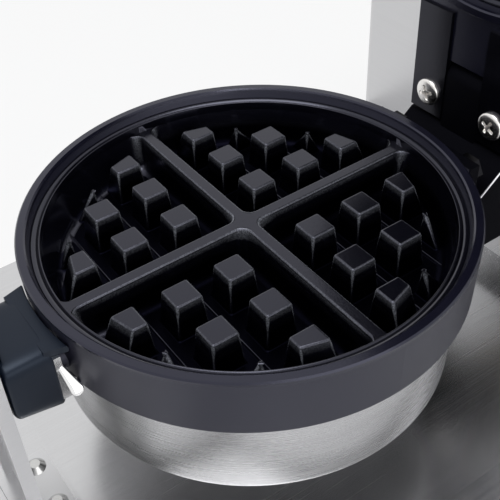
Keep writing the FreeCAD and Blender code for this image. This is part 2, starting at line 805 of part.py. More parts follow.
# Lid hinge, built with the lid shut
def arm(side):
    """Straight lid arm, flush with the lid's rim, bored for the pin and drilled for its screws."""
    x0, x1 = sorted((side * ARM_IN, side * ARM_OUT))
    end = PIN_Y + ARM_TAIL
    bar = prism_x([
        (PAD_Y, -ARM_T),
        (end - ARM_BEVEL, -ARM_T),
        (end, -ARM_T + ARM_BEVEL),
        (end, -ARM_BEVEL),
        (end - ARM_BEVEL, 0),
        (PAD_Y, 0),
    ], x0, x1)
    bar = bar.cut(rod(PIN_R + RUN_FIT, V(x0, PIN_Y, -ARM_T / 2), V(x1, PIN_Y, -ARM_T / 2)))
    return bar.cut(arm_screw(-side, HOLE_FIT)).cut(arm_screw(side, HOLE_FIT)).cut(arm_bolt(side, HOLE_FIT))


def arm_screw(side, fit):
    """Pan-head screw through the arm's tail into the stop bar; its head shows when the lid is open."""
    at = V(side * (ARM_IN + ARM_SCREW_IN), PIN_Y + ARM_SCREW_BACK, 0)
    crown = ARM_HEAD_H / 2
    head = rod(ARM_HEAD_R, at, at + V(0, 0, crown))
    dome = Part.makeCone(ARM_HEAD_R, ARM_HEAD_R - crown, crown, at + V(0, 0, crown), Z_AXIS)
    shank = rod(ARM_SCREW_R + fit, at, at - V(0, 0, ARM_T + STOP_BAR_T))
    if fit:
        return shank
    return fused([head, dome, shank])


def stop_bar():
    """Bar across the arms' tails that comes to rest on the yoke's lug when the lid is open."""
    y = PIN_Y + ARM_SCREW_BACK
    bar = box(-ARM_OUT, ARM_OUT, y - STOP_BAR_H / 2, y + STOP_BAR_H / 2, -ARM_T - STOP_BAR_T, -ARM_T)
    return bar.cut(arm_screw(-1, HOLE_FIT)).cut(arm_screw(1, HOLE_FIT))


def arm_bolt(side, fit):
    """Bolt from inside the collar that holds an arm to the pad."""
    x = side * (ARM_IN + ARM_OUT) / 2
    y = math.sqrt(SEAT_IN_R ** 2 - (abs(x) - ARM_BOLT_HEAD_R) ** 2)
    at = V(x, y + ARM_BOLT_HEAD_H, -ARM_BOLT_DROP)
    head = rod(ARM_BOLT_HEAD_R + fit, V(x, y, -ARM_BOLT_DROP), at)
    shank = rod(ARM_BOLT_R + fit, at, V(x, PAD_Y + ARM_BOLT_GRIP, -ARM_BOLT_DROP))
    return head.fuse(shank).removeSplitter()


def hinge_pin():
    z = -ARM_T / 2
    end = ARM_OUT + PIN_HEAD_T + CLIP_T
    pin = rod(PIN_R, V(-ARM_OUT, PIN_Y, z), V(end, PIN_Y, z))
    head = rod(PIN_HEAD_R, V(-ARM_OUT - PIN_HEAD_T, PIN_Y, z), V(-ARM_OUT, PIN_Y, z))
    groove = tube(PIN_R, PIN_R - CLIP_T, V(ARM_OUT, PIN_Y, z), V(ARM_OUT + CLIP_T, PIN_Y, z))
    return fused([pin, head]).cut(groove)


def pin_clip():
    z = -ARM_T / 2
    near = V(ARM_OUT, PIN_Y, z)
    far = V(ARM_OUT + CLIP_T, PIN_Y, z)
    ring = tube(PIN_HEAD_R, PIN_R - CLIP_T + HOLE_FIT, near, far)
    mouth = box(ARM_OUT, ARM_OUT + CLIP_T, PIN_Y - PIN_R / 2, PIN_Y + PIN_R / 2, z - PIN_HEAD_R, z)
    return ring.cut(mouth)


# Yoke and shaft, built about the flip axis
def yoke_bolt(side, fit):
    """Hex bolt from the yoke's flange into the collar's pad."""
    x = side * YOKE_BOLT_PITCH / 2
    z = -YOKE_BOLT_DROP
    seat = PAD_Y + YOKE_FLANGE_T
    shank = rod(YOKE_BOLT_R + fit, V(x, seat - YOKE_BOLT_GRIP, z), V(x, seat, z))
    if fit:
        return shank
    return shank.fuse(hexagon(YOKE_BOLT_ACROSS, V(x, seat, z), V(x, seat + YOKE_BOLT_HEAD, z)))


def hinge_yoke():
    """Cast yoke: flange on the collar, hollow wedge, pin lug and shaft boss."""
    half = YOKE_W / 2
    flange_top = -YOKE_PAD_TOP - PARTING_GAP / 2
    flange_y = PAD_Y + YOKE_FLANGE_T
    rise = math.tan(math.radians(YOKE_SLOPE))
    shelf_z = PIN_Z - SWEEP_R
    slope_end = flange_y + (YOKE_SLOPE_DROP + shelf_z) / rise
    back = BOSS_Y + YOKE_WALL
    body = prism_x([
        (PAD_Y, flange_top),
        (flange_y, flange_top),
        (flange_y, -YOKE_SLOPE_DROP),
        (slope_end, shelf_z),
        (BOSS_Y, shelf_z),
        (back, -BOSS_R),
        (back, -YOKE_SLOPE_DROP),
        (PIN_Y, -YOKE_BOTTOM),
        (PAD_Y, -YOKE_BOTTOM),
    ], -half, half)
    hollow = prism_x([
        (flange_y + YOKE_WALL, -YOKE_BOTTOM),
        (PIN_Y, -YOKE_BOTTOM),
        (BOSS_Y - YOKE_WALL, -YOKE_SLOPE_DROP - YOKE_WALL),
        (slope_end, -YOKE_SLOPE_DROP),
        (flange_y + YOKE_WALL, -YOKE_SLOPE_DROP - YOKE_WALL),
    ], -half + YOKE_WALL, half - YOKE_WALL)
    stop_y = PIN_Y + ARM_T / 2 - STOP_GAP
    lug = prism_x([
        (PIN_Y - LUG_R, PIN_Z),
        (stop_y, PIN_Z),
        (stop_y, shelf_z),
        (PIN_Y - LUG_R, -YOKE_SLOPE_DROP),
    ], -LUG_HALF_W, LUG_HALF_W)
    eye = rod(LUG_R, V(-LUG_HALF_W, PIN_Y, PIN_Z), V(LUG_HALF_W, PIN_Y, PIN_Z))
    boss = rod(BOSS_R, V(0, BOSS_Y, 0), V(0, BOSS_END_Y, 0))
    rib = prism_x([
        (BOSS_Y, 0),
        (BOSS_END_Y - YOKE_WALL, 0),
        (BOSS_END_Y - YOKE_WALL, -BOSS_R),
        (back, -YOKE_SLOPE_DROP),
        (BOSS_Y, -YOKE_SLOPE_DROP),
    ], -YOKE_WALL, YOKE_WALL)
    sweep = rod(SWEEP_R, V(-half, PIN_Y, PIN_Z), V(half, PIN_Y, PIN_Z))
    yoke = fused([body.cut(hollow).cut(sweep), lug, eye, rib, boss])
    holes = [
        rod(HINGE_BUSH_R + HOLE_FIT, V(-half, PIN_Y, PIN_Z), V(half, PIN_Y, PIN_Z)),
        rod(SHAFT_R + HOLE_FIT, V(0, BOSS_END_Y - BOSS_SOCKET, 0), V(0, BOSS_END_Y, 0)),
        shaft_pin_rod(HOLE_FIT),
        yoke_bolt(-1, HOLE_FIT),
        yoke_bolt(1, HOLE_FIT),
    ]
    return yoke.cut(Part.makeCompound(holes))


def hinge_bushes():
    inner = tube(HINGE_BUSH_R, PIN_R + RUN_FIT, V(SIDE_GAP, PIN_Y, PIN_Z), V(LUG_HALF_W, PIN_Y, PIN_Z))
    return both_sides(inner)


def shaft_pin_rod(fit):
    y = BOSS_END_Y - BOSS_SOCKET / 2
    return rod(SHAFT_PIN_R + fit, V(-BOSS_R, y, 0), V(BOSS_R, y, 0))


def shaft():
    start = V(0, BOSS_END_Y - BOSS_SOCKET + TOUCH_GAP, 0)
    end = V(0, BEARING_END_Y + BEARING_FLANGE_T + STOP_GAP + SHAFT_COLLAR_T, 0)
    return tube(SHAFT_R, SHAFT_BORE_R, start, end).cut(shaft_pin_rod(HOLE_FIT))


def shaft_collar():
    start = V(0, BEARING_END_Y + BEARING_FLANGE_T + STOP_GAP, 0)
    return tube(SHAFT_COLLAR_R, SHAFT_R + HOLE_FIT, start, start + V(0, SHAFT_COLLAR_T, 0))


def bearing_bush(start, direction):
    """Flanged bush: its flange lies outside the start point, its sleeve runs inwards."""
    flange_end = start - direction * BEARING_FLANGE_T
    sleeve = rod(BUSH_OUT_R, start, start + direction * BEARING_BUSH_L)
    flange = rod(BEARING_TUBE_R, flange_end, start)
    bore = rod(SHAFT_R + RUN_FIT, flange_end, start + direction * BEARING_BUSH_L)
    return fused([sleeve, flange]).cut(bore)


def bearing_bushes():
    front = bearing_bush(V(0, TOWER_Y, 0), Y_AXIS)
    rear = bearing_bush(V(0, BEARING_END_Y, 0), -Y_AXIS)
    return Part.makeCompound([front, rear])


def housing_bolt_points():
    half = HOUSING_BOLT_PITCH / 2
    return [(sx * half, sz * half) for sx in (-1, 1) for sz in (-1, 1)]


def housing_bolt_shank(x, z, fit):
    start = TOWER_Y + SHEET + TOUCH_GAP
    end = TOWER_Y + SHEET + HOUSING_T + PILLAR_T
    return rod(HOUSING_BOLT_R + fit, V(x, start, z), V(x, end, z))


def housing_bolt_holes():
    return Part.makeCompound([housing_bolt_shank(x, z, HOLE_FIT) for x, z in housing_bolt_points()])


def housing_bolts():
    bolts = []
    seat = TOWER_Y + SHEET + HOUSING_T + PILLAR_T
    for x, z in housing_bolt_points():
        head = hexagon(YOKE_BOLT_ACROSS, V(x, seat, z), V(x, seat + YOKE_BOLT_HEAD, z))
        bolts.append(housing_bolt_shank(x, z, 0).fuse(head).removeSplitter())
    return Part.makeCompound(bolts)


def bearing_housing():
    half = HOUSING_SQUARE / 2
    face = TOWER_Y + SHEET
    plate = box(-half, half, face, face + HOUSING_T, -half, half)
    barrel = rod(BEARING_TUBE_R, V(0, face, 0), V(0, BEARING_END_Y, 0))
    bore = rod(BUSH_OUT_R + HOLE_FIT, V(0, face, 0), V(0, BEARING_END_Y, 0))
    return fused([plate, barrel]).cut(bore).cut(housing_bolt_holes())


def pillar():
    """Folded steel frame inside the tower that carries the bearing housing on the deck."""
    half = PILLAR_W / 2
    front = TOWER_Y + SHEET + HOUSING_T
    foot = DECK_H - AXIS_H
    web = box(-half, half, front, front + PILLAR_T, foot, PILLAR_TOP)
    sole = box(-half, half, front, front + PILLAR_D, foot, foot + PILLAR_T)
    cheek = prism_x([
        (front, foot),
        (front + PILLAR_D, foot),
        (front + PILLAR_D, foot + PILLAR_D / 2),
        (front + PILLAR_T, PILLAR_TOP),
        (front, PILLAR_TOP),
    ], half - PILLAR_T, half)
    frame = fused([web, sole] + both_sides(cheek).Solids)
    barrel = rod(BEARING_TUBE_R + HOLE_FIT, V(0, front, 0), V(0, front + PILLAR_T, 0))
    return frame.cut(barrel).cut(housing_bolt_holes())


# Tower and base
def rounded_box(x, y0, y1, z0, z1, radius):
    """Box across the middle plane with its front upright edges rounded."""
    turn = radius * (1 - math.sqrt(0.5))
    points = [
        V(x, y1, z0),
        V(-x, y1, z0),
        V(-x, y0 + radius, z0),
        V(-x + radius, y0, z0),
        V(x - radius, y0, z0),
        V(x, y0 + radius, z0),
    ]
    edges = [
        Part.LineSegment(points[0], points[1]).toShape(),
        Part.LineSegment(points[1], points[2]).toShape(),
        Part.Arc(points[2], V(-x + turn, y0 + turn, z0), points[3]).toShape(),
        Part.LineSegment(points[3], points[4]).toShape(),
        Part.Arc(points[4], V(x - turn, y0 + turn, z0), points[5]).toShape(),
        Part.LineSegment(points[5], points[0]).toShape(),
    ]
    return Part.Face(Part.Wire(edges)).extrude(V(0, 0, z1 - z0))


def tower_shell():
    """Folded shell: front, sides, top and the returns that take the rear cover."""
    outer = rounded_box(SIDE_X, TOWER_Y, TOWER_BACK_Y, DECK_H, TOWER_H, TOWER_ROUND)
    inner = rounded_box(SIDE_X - SHEET, TOWER_Y + SHEET, TOWER_BACK_Y - SHEET, DECK_H, TOWER_H - SHEET,
                        TOWER_ROUND - SHEET)
    mouth_x = SIDE_X - RETURN_W
    mouth = box(-mouth_x, mouth_x, TOWER_BACK_Y - SHEET, TOWER_BACK_Y, DECK_H + RETURN_W, TOWER_H - RETURN_W)
    shell = outer.cut(inner).cut(mouth)
    holes = [rod(BUSH_OUT_R + HOLE_FIT, V(0, TOWER_Y, AXIS_H), V(0, TOWER_Y + SHEET, AXIS_H))]
    holes.append(side_hole(CONTROL_BUSH_R, CONTROL_Y, THERMOSTAT_Z))
    holes.append(left_side(side_hole(CONTROL_BUSH_R, CONTROL_Y, TIMER_Z)))
    holes.append(side_hole(LAMP_R, LAMP_Y, THERMOSTAT_Z))
    holes.append(side_hole(LAMP_R, LAMP_Y, SWITCH_Z))
    half_w = SWITCH_BODY_W / 2 + WALL_GAP
    half_h = SWITCH_BODY_H / 2 + WALL_GAP
    holes.append(box(SIDE_X - SHEET, SIDE_X, CONTROL_Y - half_w, CONTROL_Y + half_w,
                     SWITCH_Z - half_h, SWITCH_Z + half_h))
    holes += [cover_screw_shank(x, z, HOLE_FIT) for x, z in cover_screw_points()]
    return shell.cut(Part.makeCompound(holes))


def side_hole(radius, y, z):
    return rod(radius + HOLE_FIT, V(SIDE_X - SHEET, y, z), V(SIDE_X, y, z))


def cover_screw_points():
    x = SIDE_X - RETURN_W / 2
    low = DECK_H + RETURN_W / 2
    high = TOWER_H - RETURN_W / 2
    return [(side * x, z) for side in (-1, 1) for z in (low, (low + high) / 2, high)]


def cover_screw_shank(x, z, fit):
    return rod(COVER_SCREW_R + fit, V(x, TOWER_BACK_Y - 4 * SHEET, z), V(x, TOWER_BACK_Y + SHEET, z))


def rear_cover():
    """Flat cover with two banks of vent slots and the hole for the cable gland."""
    half = SIDE_X - SHEET
    outside = TOWER_BACK_Y + SHEET
    cover = box(-half, half, TOWER_BACK_Y, outside, DECK_H + SHEET, TOWER_H - SHEET)
    holes = [rod(GLAND_R + HOLE_FIT, V(GLAND_X, TOWER_BACK_Y, GLAND_Z), V(GLAND_X, outside, GLAND_Z))]
    holes += [cover_screw_shank(x, z, HOLE_FIT) for x, z in cover_screw_points()]
    for side in (-1, 1):
        for k in range(VENT_COUNT):
            x = side * VENT_X
            z = VENT_Z + k * VENT_PITCH
            holes.append(box(x - VENT_W / 2, x + VENT_W / 2, TOWER_BACK_Y, outside, z, z + VENT_H))
    return cover.cut(Part.makeCompound(holes))


def rear_cover_screws():
    screws = []
    for x, z in cover_screw_points():
        face = V(x, TOWER_BACK_Y + SHEET, z)
        head = Part.makeCone(2 * COVER_SCREW_R, COVER_SCREW_R, COVER_SCREW_R, face, Y_AXIS)
        screws.append(cover_screw_shank(x, z, 0).fuse(head).removeSplitter())
    return Part.makeCompound(screws)


def cable_gland():
    """Hex gland on the rear cover, open through its bore."""
    face = V(GLAND_X, TOWER_BACK_Y + SHEET, GLAND_Z)
    inside = face - V(0, GLAND_LEN / 2, 0)
    outside = face + V(0, GLAND_LEN, 0)
    flats = hexagon(3 * GLAND_R * 0.8, face, face + V(0, GLAND_LEN / 2, 0))
    dome = Part.makeCone(GLAND_R, GLAND_R * 0.7, GLAND_LEN / 2, face + V(0, GLAND_LEN / 2, 0), Y_AXIS)
    body = fused([rod(GLAND_R, inside, face), flats, dome])
    return body.cut(rod(GLAND_BORE_R, inside, outside))


def terminal_block():
    x = GLAND_X
    y = TOWER_BACK_Y - 3 * SHEET - TERMINAL_D
    return box(x - TERMINAL_W / 2, x + TERMINAL_W / 2, y - TERMINAL_D, y, DECK_H, DECK_H + TERMINAL_H)


def base_pan():
    """Folded base: deck with the tray window, side walls and the tray slot in front."""
    outer = rounded_box(SIDE_X, FRONT_Y, TOWER_BACK_Y, FOOT_H, DECK_H, TOWER_ROUND)
    inner = rounded_box(SIDE_X - SHEET, FRONT_Y + SHEET, TOWER_BACK_Y - SHEET, FOOT_H, DECK_UNDER,
                        TOWER_ROUND - SHEET)
    window = box(-WINDOW_W / 2, WINDOW_W / 2, WINDOW_Y0, WINDOW_Y1, DECK_UNDER, DECK_H)
    slot_x = TRAY_W / 2 + SLOT_GAP
    slot = box(-slot_x, slot_x, FRONT_Y, FRONT_Y + SHEET, TRAY_FLOOR - SLOT_GAP, DECK_UNDER)
    return outer.cut(inner).cut(window).cut(slot).cut(support_screw_holes())


def bottom_plate():
    inset = SHEET + WALL_GAP
    top = FOOT_H + SHEET
    plate = rounded_box(SIDE_X - inset, FRONT_Y + inset, TOWER_BACK_Y - inset, FOOT_H, top,
                        TOWER_ROUND - inset)
    holes = [rod(COVER_SCREW_R + HOLE_FIT, V(x, y, FOOT_H), V(x, y, top)) for x, y in foot_points()]
    return plate.cut(Part.makeCompound(holes))


def foot_points():
    x = SIDE_X - FOOT_INSET
    return [(side * x, y) for side in (-1, 1) for y in (FRONT_Y + FOOT_INSET, TOWER_BACK_Y - FOOT_INSET)]


def feet():
    """Tapered rubber feet, hollowed below for their screws."""
    solids = []
    for x, y in foot_points():
        foot = Part.makeCone(FOOT_R - FOOT_TAPER, FOOT_R, FOOT_H, V(x, y, 0), Z_AXIS)
        well = rod(2.5 * COVER_SCREW_R, V(x, y, 0), V(x, y, FOOT_H / 2))
        hole = rod(COVER_SCREW_R + HOLE_FIT, V(x, y, 0), V(x, y, FOOT_H))
        solids.append(foot.cut(well).cut(hole))
    return Part.makeCompound(solids)


def foot_screws():
    screws = []
    for x, y in foot_points():
        shank = rod(COVER_SCREW_R, V(x, y, FOOT_H / 2), V(x, y, FOOT_H + 3 * SHEET))
        head = rod(2 * COVER_SCREW_R, V(x, y, FOOT_H / 2 - COVER_SCREW_R), V(x, y, FOOT_H / 2))
        screws.append(shank.fuse(head).removeSplitter())
    return Part.makeCompound(screws)


def tray_runners():
    """Angle runners on the base walls that the tray slides along."""
    wall = SIDE_X - SHEET
    top = TRAY_FLOOR - TRAY_GAP
    shelf = box(wall - RUNNER_W, wall, FRONT_Y + TOWER_ROUND, TRAY_Y1, top - RUNNER_T, top)
    flange = box(wall - RUNNER_T, wall, FRONT_Y + TOWER_ROUND, TRAY_Y1, top, top + RUNNER_H)
    return both_sides(fused([shelf, flange]))


def drip_tray():
    """Pull-out tray: folded pan, face and finger pull."""
    half = TRAY_W / 2
    pan = box(-half, half, FRONT_Y - TRAY_GAP, TRAY_Y1, TRAY_FLOOR, TRAY_TOP - TRAY_GAP)
    hollow = box(-half + TRAY_T, half - TRAY_T, FRONT_Y - TRAY_GAP + TRAY_T, TRAY_Y1 - TRAY_T,
                 TRAY_FLOOR + TRAY_T, TRAY_TOP)
    face_y = FRONT_Y - TRAY_GAP
    face_top = DECK_H - TRAY_GAP
    face = box(-TRAY_FACE_W / 2, TRAY_FACE_W / 2, face_y - SHEET, face_y, face_top - TRAY_FACE_H, face_top)
    pull = box(-half / 2, half / 2, face_y - TRAY_PULL, face_y, face_top - SHEET, face_top)
    return fused([pan.cut(hollow), face, pull])


# Front support
def front_support():
    """Channel-shaped upright with a foot and an open notch round the flip axis."""
    half = SUPPORT_W / 2
    top = AXIS_H + SUPPORT_OVER
    front = SUPPORT_Y - SUPPORT_D
    web = box(-half, half, SUPPORT_Y - SUPPORT_T, SUPPORT_Y, DECK_H, top)
    foot = box(-half, half, SUPPORT_Y, SUPPORT_Y + SUPPORT_FOOT, DECK_H, DECK_H + SUPPORT_T)
    side = box(half - SUPPORT_T, half, front, SUPPORT_Y, DECK_H, top)
    notch_r = NECK_R + NOTCH_FIT
    notch = rod(notch_r, V(0, front, AXIS_H), V(0, SUPPORT_Y, AXIS_H))
    mouth = box(-notch_r, notch_r, front, SUPPORT_Y, AXIS_H, top)
    body = fused([web, foot] + both_sides(side).Solids)
    return body.cut(notch).cut(mouth).cut(support_screw_holes())


def support_screw_shank(side, fit):
    x = side * SUPPORT_SCREW_PITCH / 2
    y = SUPPORT_Y + SUPPORT_FOOT / 2
    return rod(SUPPORT_SCREW_R + fit, V(x, y, DECK_UNDER), V(x, y, DECK_H + SUPPORT_T))


def support_screw_holes():
    return Part.makeCompound([support_screw_shank(side, HOLE_FIT) for side in (-1, 1)])


def support_screws():
    screws = []
    for side in (-1, 1):
        at = V(side * SUPPORT_SCREW_PITCH / 2, SUPPORT_Y + SUPPORT_FOOT / 2, DECK_H + SUPPORT_T)
        head = Part.makeCone(2 * SUPPORT_SCREW_R, SUPPORT_SCREW_R, SUPPORT_SCREW_R, at, Z_AXIS)
        screws.append(support_screw_shank(side, 0).fuse(head).removeSplitter())
    return Part.makeCompound(screws)


# Controls
def control_body(z):
    """Control behind the tower's side wall, with its bush through the wall."""
    half = CONTROL_BODY / 2
    wall = SIDE_X - SHEET
    body = box(wall - CONTROL_BODY_D, wall, CONTROL_Y - half, CONTROL_Y + half, z - half, z + half)
    bush = rod(CONTROL_BUSH_R, V(wall, CONTROL_Y, z), V(SIDE_X, CONTROL_Y, z))
    bore = rod(STEM_R + RUN_FIT, V(SIDE_X - STEM_L - SIDE_GAP, CONTROL_Y, z), V(SIDE_X, CONTROL_Y, z))
    return fused([body, bush]).cut(bore)


def knob(z):
    """Control knob: skirt, drafted body with a grip rib, and the stem in one piece."""
    face = SIDE_X + SIDE_GAP
    skirt = rod(KNOB_R, V(face, CONTROL_Y, z), V(face + KNOB_SKIRT_T, CONTROL_Y, z))
    crown = V(face + KNOB_SKIRT_T, CONTROL_Y, z)
    body = Part.makeCone(KNOB_TOP_R, KNOB_TOP_R - KNOB_TAPER, KNOB_H - KNOB_SKIRT_T, crown, X_AXIS)
    stem = rod(STEM_R, V(SIDE_X - STEM_L, CONTROL_Y, z), V(face, CONTROL_Y, z))
    half = KNOB_RIB_W / 2
    reach = KNOB_TOP_R - KNOB_TAPER
    rib = box(face + KNOB_SKIRT_T, face + KNOB_H + KNOB_SKIRT_T, CONTROL_Y - half, CONTROL_Y + half,
              z - reach, z + reach)
    return fused([skirt, body, stem, rib])


def switch_body():
    """Switch case through the wall, with its bezel and an open well for the rocker."""
    half_w, half_h = SWITCH_BODY_W / 2, SWITCH_BODY_H / 2
    bezel_w, bezel_h = SWITCH_BEZEL_W / 2, SWITCH_BEZEL_H / 2
    back = SIDE_X - SWITCH_BODY_D
    case = box(back, SIDE_X, CONTROL_Y - half_w, CONTROL_Y + half_w, SWITCH_Z - half_h, SWITCH_Z + half_h)
    bezel = box(SIDE_X, SIDE_X + BEZEL_T, CONTROL_Y - bezel_w, CONTROL_Y + bezel_w,
                SWITCH_Z - bezel_h, SWITCH_Z + bezel_h)
    well_w = ROCKER_W / 2 + SIDE_GAP
    well_h = ROCKER_L / 2 + 3 * SIDE_GAP
    well = box(SIDE_X - SWITCH_BODY_D / 2, SIDE_X + BEZEL_T, CONTROL_Y - well_w, CONTROL_Y + well_w,
               SWITCH_Z - well_h, SWITCH_Z + well_h)
    return fused([case, bezel]).cut(well)


def power_rocker():
    """Rocker with a shallow V face, tipped to its off side."""
    half = ROCKER_L / 2
    pivot = V(SIDE_X - BEZEL_T, CONTROL_Y, SWITCH_Z)
    outline = [(-2 * BEZEL_T, -half), (2 * BEZEL_T + 1, -half), (2 * BEZEL_T, 0), (2 * BEZEL_T + 1, half),
               (-2 * BEZEL_T, half)]
    face = polygon([V(pivot.x + dx, CONTROL_Y - ROCKER_W / 2, SWITCH_Z + dz) for dx, dz in outline])
    rocker = face.extrude(V(0, ROCKER_W, 0))
    rocker.rotate(pivot, Y_AXIS, ROCKER_TILT)
    return rocker


def lamp(z):
    """Pilot lamp: body through the wall, flange and low dome."""
    body = rod(LAMP_R, V(SIDE_X - LAMP_D, LAMP_Y, z), V(SIDE_X, LAMP_Y, z))
    flange = rod(LAMP_R + BEZEL_T, V(SIDE_X, LAMP_Y, z), V(SIDE_X + BEZEL_T / 2, LAMP_Y, z))
    dome = Part.makeCone(LAMP_R, LAMP_R / 2, LAMP_DOME, V(SIDE_X + BEZEL_T / 2, LAMP_Y, z), X_AXIS)
    return fused([body, flange, dome])


NODES = {
    "base_pan": base_pan(),
    "bottom_plate": bottom_plate(),
    "feet": feet(),
    "foot_screws": foot_screws(),
    "tray_runners": tray_runners(),
    "front_support": front_support(),
    "support_screws": support_screws(),
    "tower_shell": tower_shell(),
    "rear_cover": rear_cover(),
    "rear_cover_screws": rear_cover_screws(),
    "pillar": place_axis(pillar()),
    "bearing_housing": place_axis(bearing_housing()),
    "bearing_bushes": place_axis(bearing_bushes()),
    "housing_bolts": place_axis(housing_bolts()),
    "thermostat_body": control_body(THERMOSTAT_Z),
    "timer_body": left_side(control_body(TIMER_Z)),
    "switch_body": switch_body(),
    "power_lamp": lamp(SWITCH_Z),
    "ready_lamp": lamp(THERMOSTAT_Z),
    "terminal_block": terminal_block(),
    "cable_gland": cable_gland(),
    "drip_tray": drip_tray(),
    "thermostat_knob": knob(THERMOSTAT_Z),
    "timer_knob": left_side(knob(TIMER_Z)),
    "power_rocker": power_rocker(),
    "lower_collar": place_lower(lower_collar()),
    "lower_plate": place_lower(grid_plate()),
    "lower_heater": place_lower(heater()),
    "lower_shield": place_lower(heat_shield()),
    "lower_bowl": place_lower(bowl()),
    "lower_stud": place_lower(stud()),
    "lower_nut": place_lower(nut()),
    "lower_sensor": place_lower(sensor()),
    "lower_handle": place_lower(handle()),
    "lower_bracket": place_lower(bracket()),
    "lower_handle_screws": place_lower(handle_screws()),
    "hinge_yoke": place_axis(hinge_yoke()),
    "yoke_bolts": place_axis(Part.makeCompound([yoke_bolt(-1, 0), yoke_bolt(1, 0)])),
    "hinge_bushes": place_axis(hinge_bushes()),
    "shaft": place_axis(shaft()),
    "shaft_pin": place_axis(shaft_pin_rod(0)),
    "shaft_collar": place_axis(shaft_collar()),
    "lid_collar": place_lid(lid_collar()),
    "lid_plate": place_lid(grid_plate()),
    "lid_heater": place_lid(heater()),
    "lid_shield": place_lid(heat_shield()),
    "lid_bowl": place_lid(bowl()),
    "lid_stud": place_lid(stud()),
    "lid_nut": place_lid(nut()),
    "lid_cutout": place_lid(cutout()),
    "lid_handle": place_lid(handle()),
    "lid_bracket": place_lid(bracket()),
    "lid_handle_screws": place_lid(handle_screws()),
    "lid_arm_left": place_lid(arm(1)),
    "lid_arm_right": place_lid(arm(-1)),
    "arm_bolts": place_lid(Part.makeCompound([arm_bolt(-1, 0), arm_bolt(1, 0)])),
    "arm_screws": place_lid(Part.makeCompound([arm_screw(-1, 0), arm_screw(1, 0)])),
    "stop_bar": place_lid(stop_bar()),
    "hinge_pin": place_lid(hinge_pin()),
    "pin_clip": place_lid(pin_clip()),
}

os.makedirs("parts", exist_ok=True)
for name, shape in NODES.items():
    shape.translated(V(0, HEAD_Y, 0)).exportStep("parts/" + name + ".step")
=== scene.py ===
"""Dresses the flip-over waffle maker: grid plates, bowls, handles, screws, dials, finishes and studio."""

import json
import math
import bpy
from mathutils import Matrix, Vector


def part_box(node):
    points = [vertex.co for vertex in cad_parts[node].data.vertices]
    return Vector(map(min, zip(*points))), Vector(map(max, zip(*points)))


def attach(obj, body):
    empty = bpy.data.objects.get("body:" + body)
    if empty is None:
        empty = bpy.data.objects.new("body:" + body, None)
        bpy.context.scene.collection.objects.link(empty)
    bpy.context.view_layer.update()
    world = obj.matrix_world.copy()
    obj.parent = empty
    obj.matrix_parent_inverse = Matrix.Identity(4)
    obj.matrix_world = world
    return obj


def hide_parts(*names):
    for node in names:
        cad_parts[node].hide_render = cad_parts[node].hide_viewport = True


bl_info = {
    "name": "Waffle maker",
    "version": (1, 0, 0),
    "blender": (4, 5, 0),
    "location": "View3D > Sidebar > Waffle maker",
    "description": "Builds the visible pieces, finishes and studio of a flip-over waffle maker",
    "category": "Object",
}

import bmesh
import bpy
import numpy as np
from mathutils import Matrix

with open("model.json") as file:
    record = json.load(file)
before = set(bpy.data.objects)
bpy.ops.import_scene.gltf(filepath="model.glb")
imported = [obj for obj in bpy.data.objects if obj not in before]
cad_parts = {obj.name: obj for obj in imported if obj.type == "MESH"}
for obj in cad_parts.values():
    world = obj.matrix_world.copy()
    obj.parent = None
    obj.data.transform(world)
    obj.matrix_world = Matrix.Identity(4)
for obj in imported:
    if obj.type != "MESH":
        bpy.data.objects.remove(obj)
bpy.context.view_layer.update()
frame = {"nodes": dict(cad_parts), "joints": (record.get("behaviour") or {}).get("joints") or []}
JOINTS = {joint["name"]: joint for joint in frame["joints"]}
AXIS = np.array(JOINTS["head_turn"]["pos_m"])
PIN = np.array(JOINTS["lid_hinge"]["pos_m"])
MM = 0.001


# Sizes and colours that a user would change

class WafflePlateSizes(bpy.types.PropertyGroup):
    """Sizes of the grid plates, in metres."""
    cavity_radius: bpy.props.FloatProperty(
        name="Cavity radius", description="Radius of the baking cavity at its mouth", default=0.090,
        unit="LENGTH")
    rim_drop: bpy.props.FloatProperty(
        name="Rim drop", description="From the rim down to the plate's flange", default=0.0046,
        unit="LENGTH")
    post_drop: bpy.props.FloatProperty(
        name="Post drop", description="From the flange down to the tops of posts and dividers",
        default=0.0041, unit="LENGTH")
    cavity_depth: bpy.props.FloatProperty(
        name="Cavity depth", description="From the flange down to the cavity floor", default=0.0216,
        unit="LENGTH")
    divider_width: bpy.props.FloatProperty(
        name="Divider width", description="Width of the cross of dividers at its top", default=0.006,
        unit="LENGTH")
    post_side: bpy.props.FloatProperty(
        name="Post side", description="Side of a post's square top", default=0.0125, unit="LENGTH")
    post_pitch: bpy.props.FloatProperty(
        name="Post pitch", description="Distance between rows of posts", default=0.0256, unit="LENGTH")
    post_first: bpy.props.FloatProperty(
        name="First row", description="First row of posts from the middle of the cross", default=0.0215,
        unit="LENGTH")
    edge_round: bpy.props.FloatProperty(
        name="Edge radius", description="Radius of the cast edges of posts and dividers", default=0.0010,
        unit="LENGTH")
    corner_round: bpy.props.FloatProperty(
        name="Corner radius", description="Radius of the upright corners of the posts", default=0.0012,
        unit="LENGTH")
    foot_fillet: bpy.props.FloatProperty(
        name="Foot fillet", description="Fillet between the posts and the floor", default=0.0006,
        unit="LENGTH")
    clip_radius: bpy.props.FloatProperty(
        name="Clip radius", description="Circle that cuts the outer posts short", default=0.0783,
        unit="LENGTH")
    wall_fillet: bpy.props.FloatProperty(
        name="Wall fillet", description="Fillet between the cavity wall and the floor", default=0.0034,
        unit="LENGTH")
    stub_drop: bpy.props.FloatProperty(
        name="Stub drop", description="From the tops of the posts down to the tips of the outermost stubs",
        default=0.0042, unit="LENGTH")


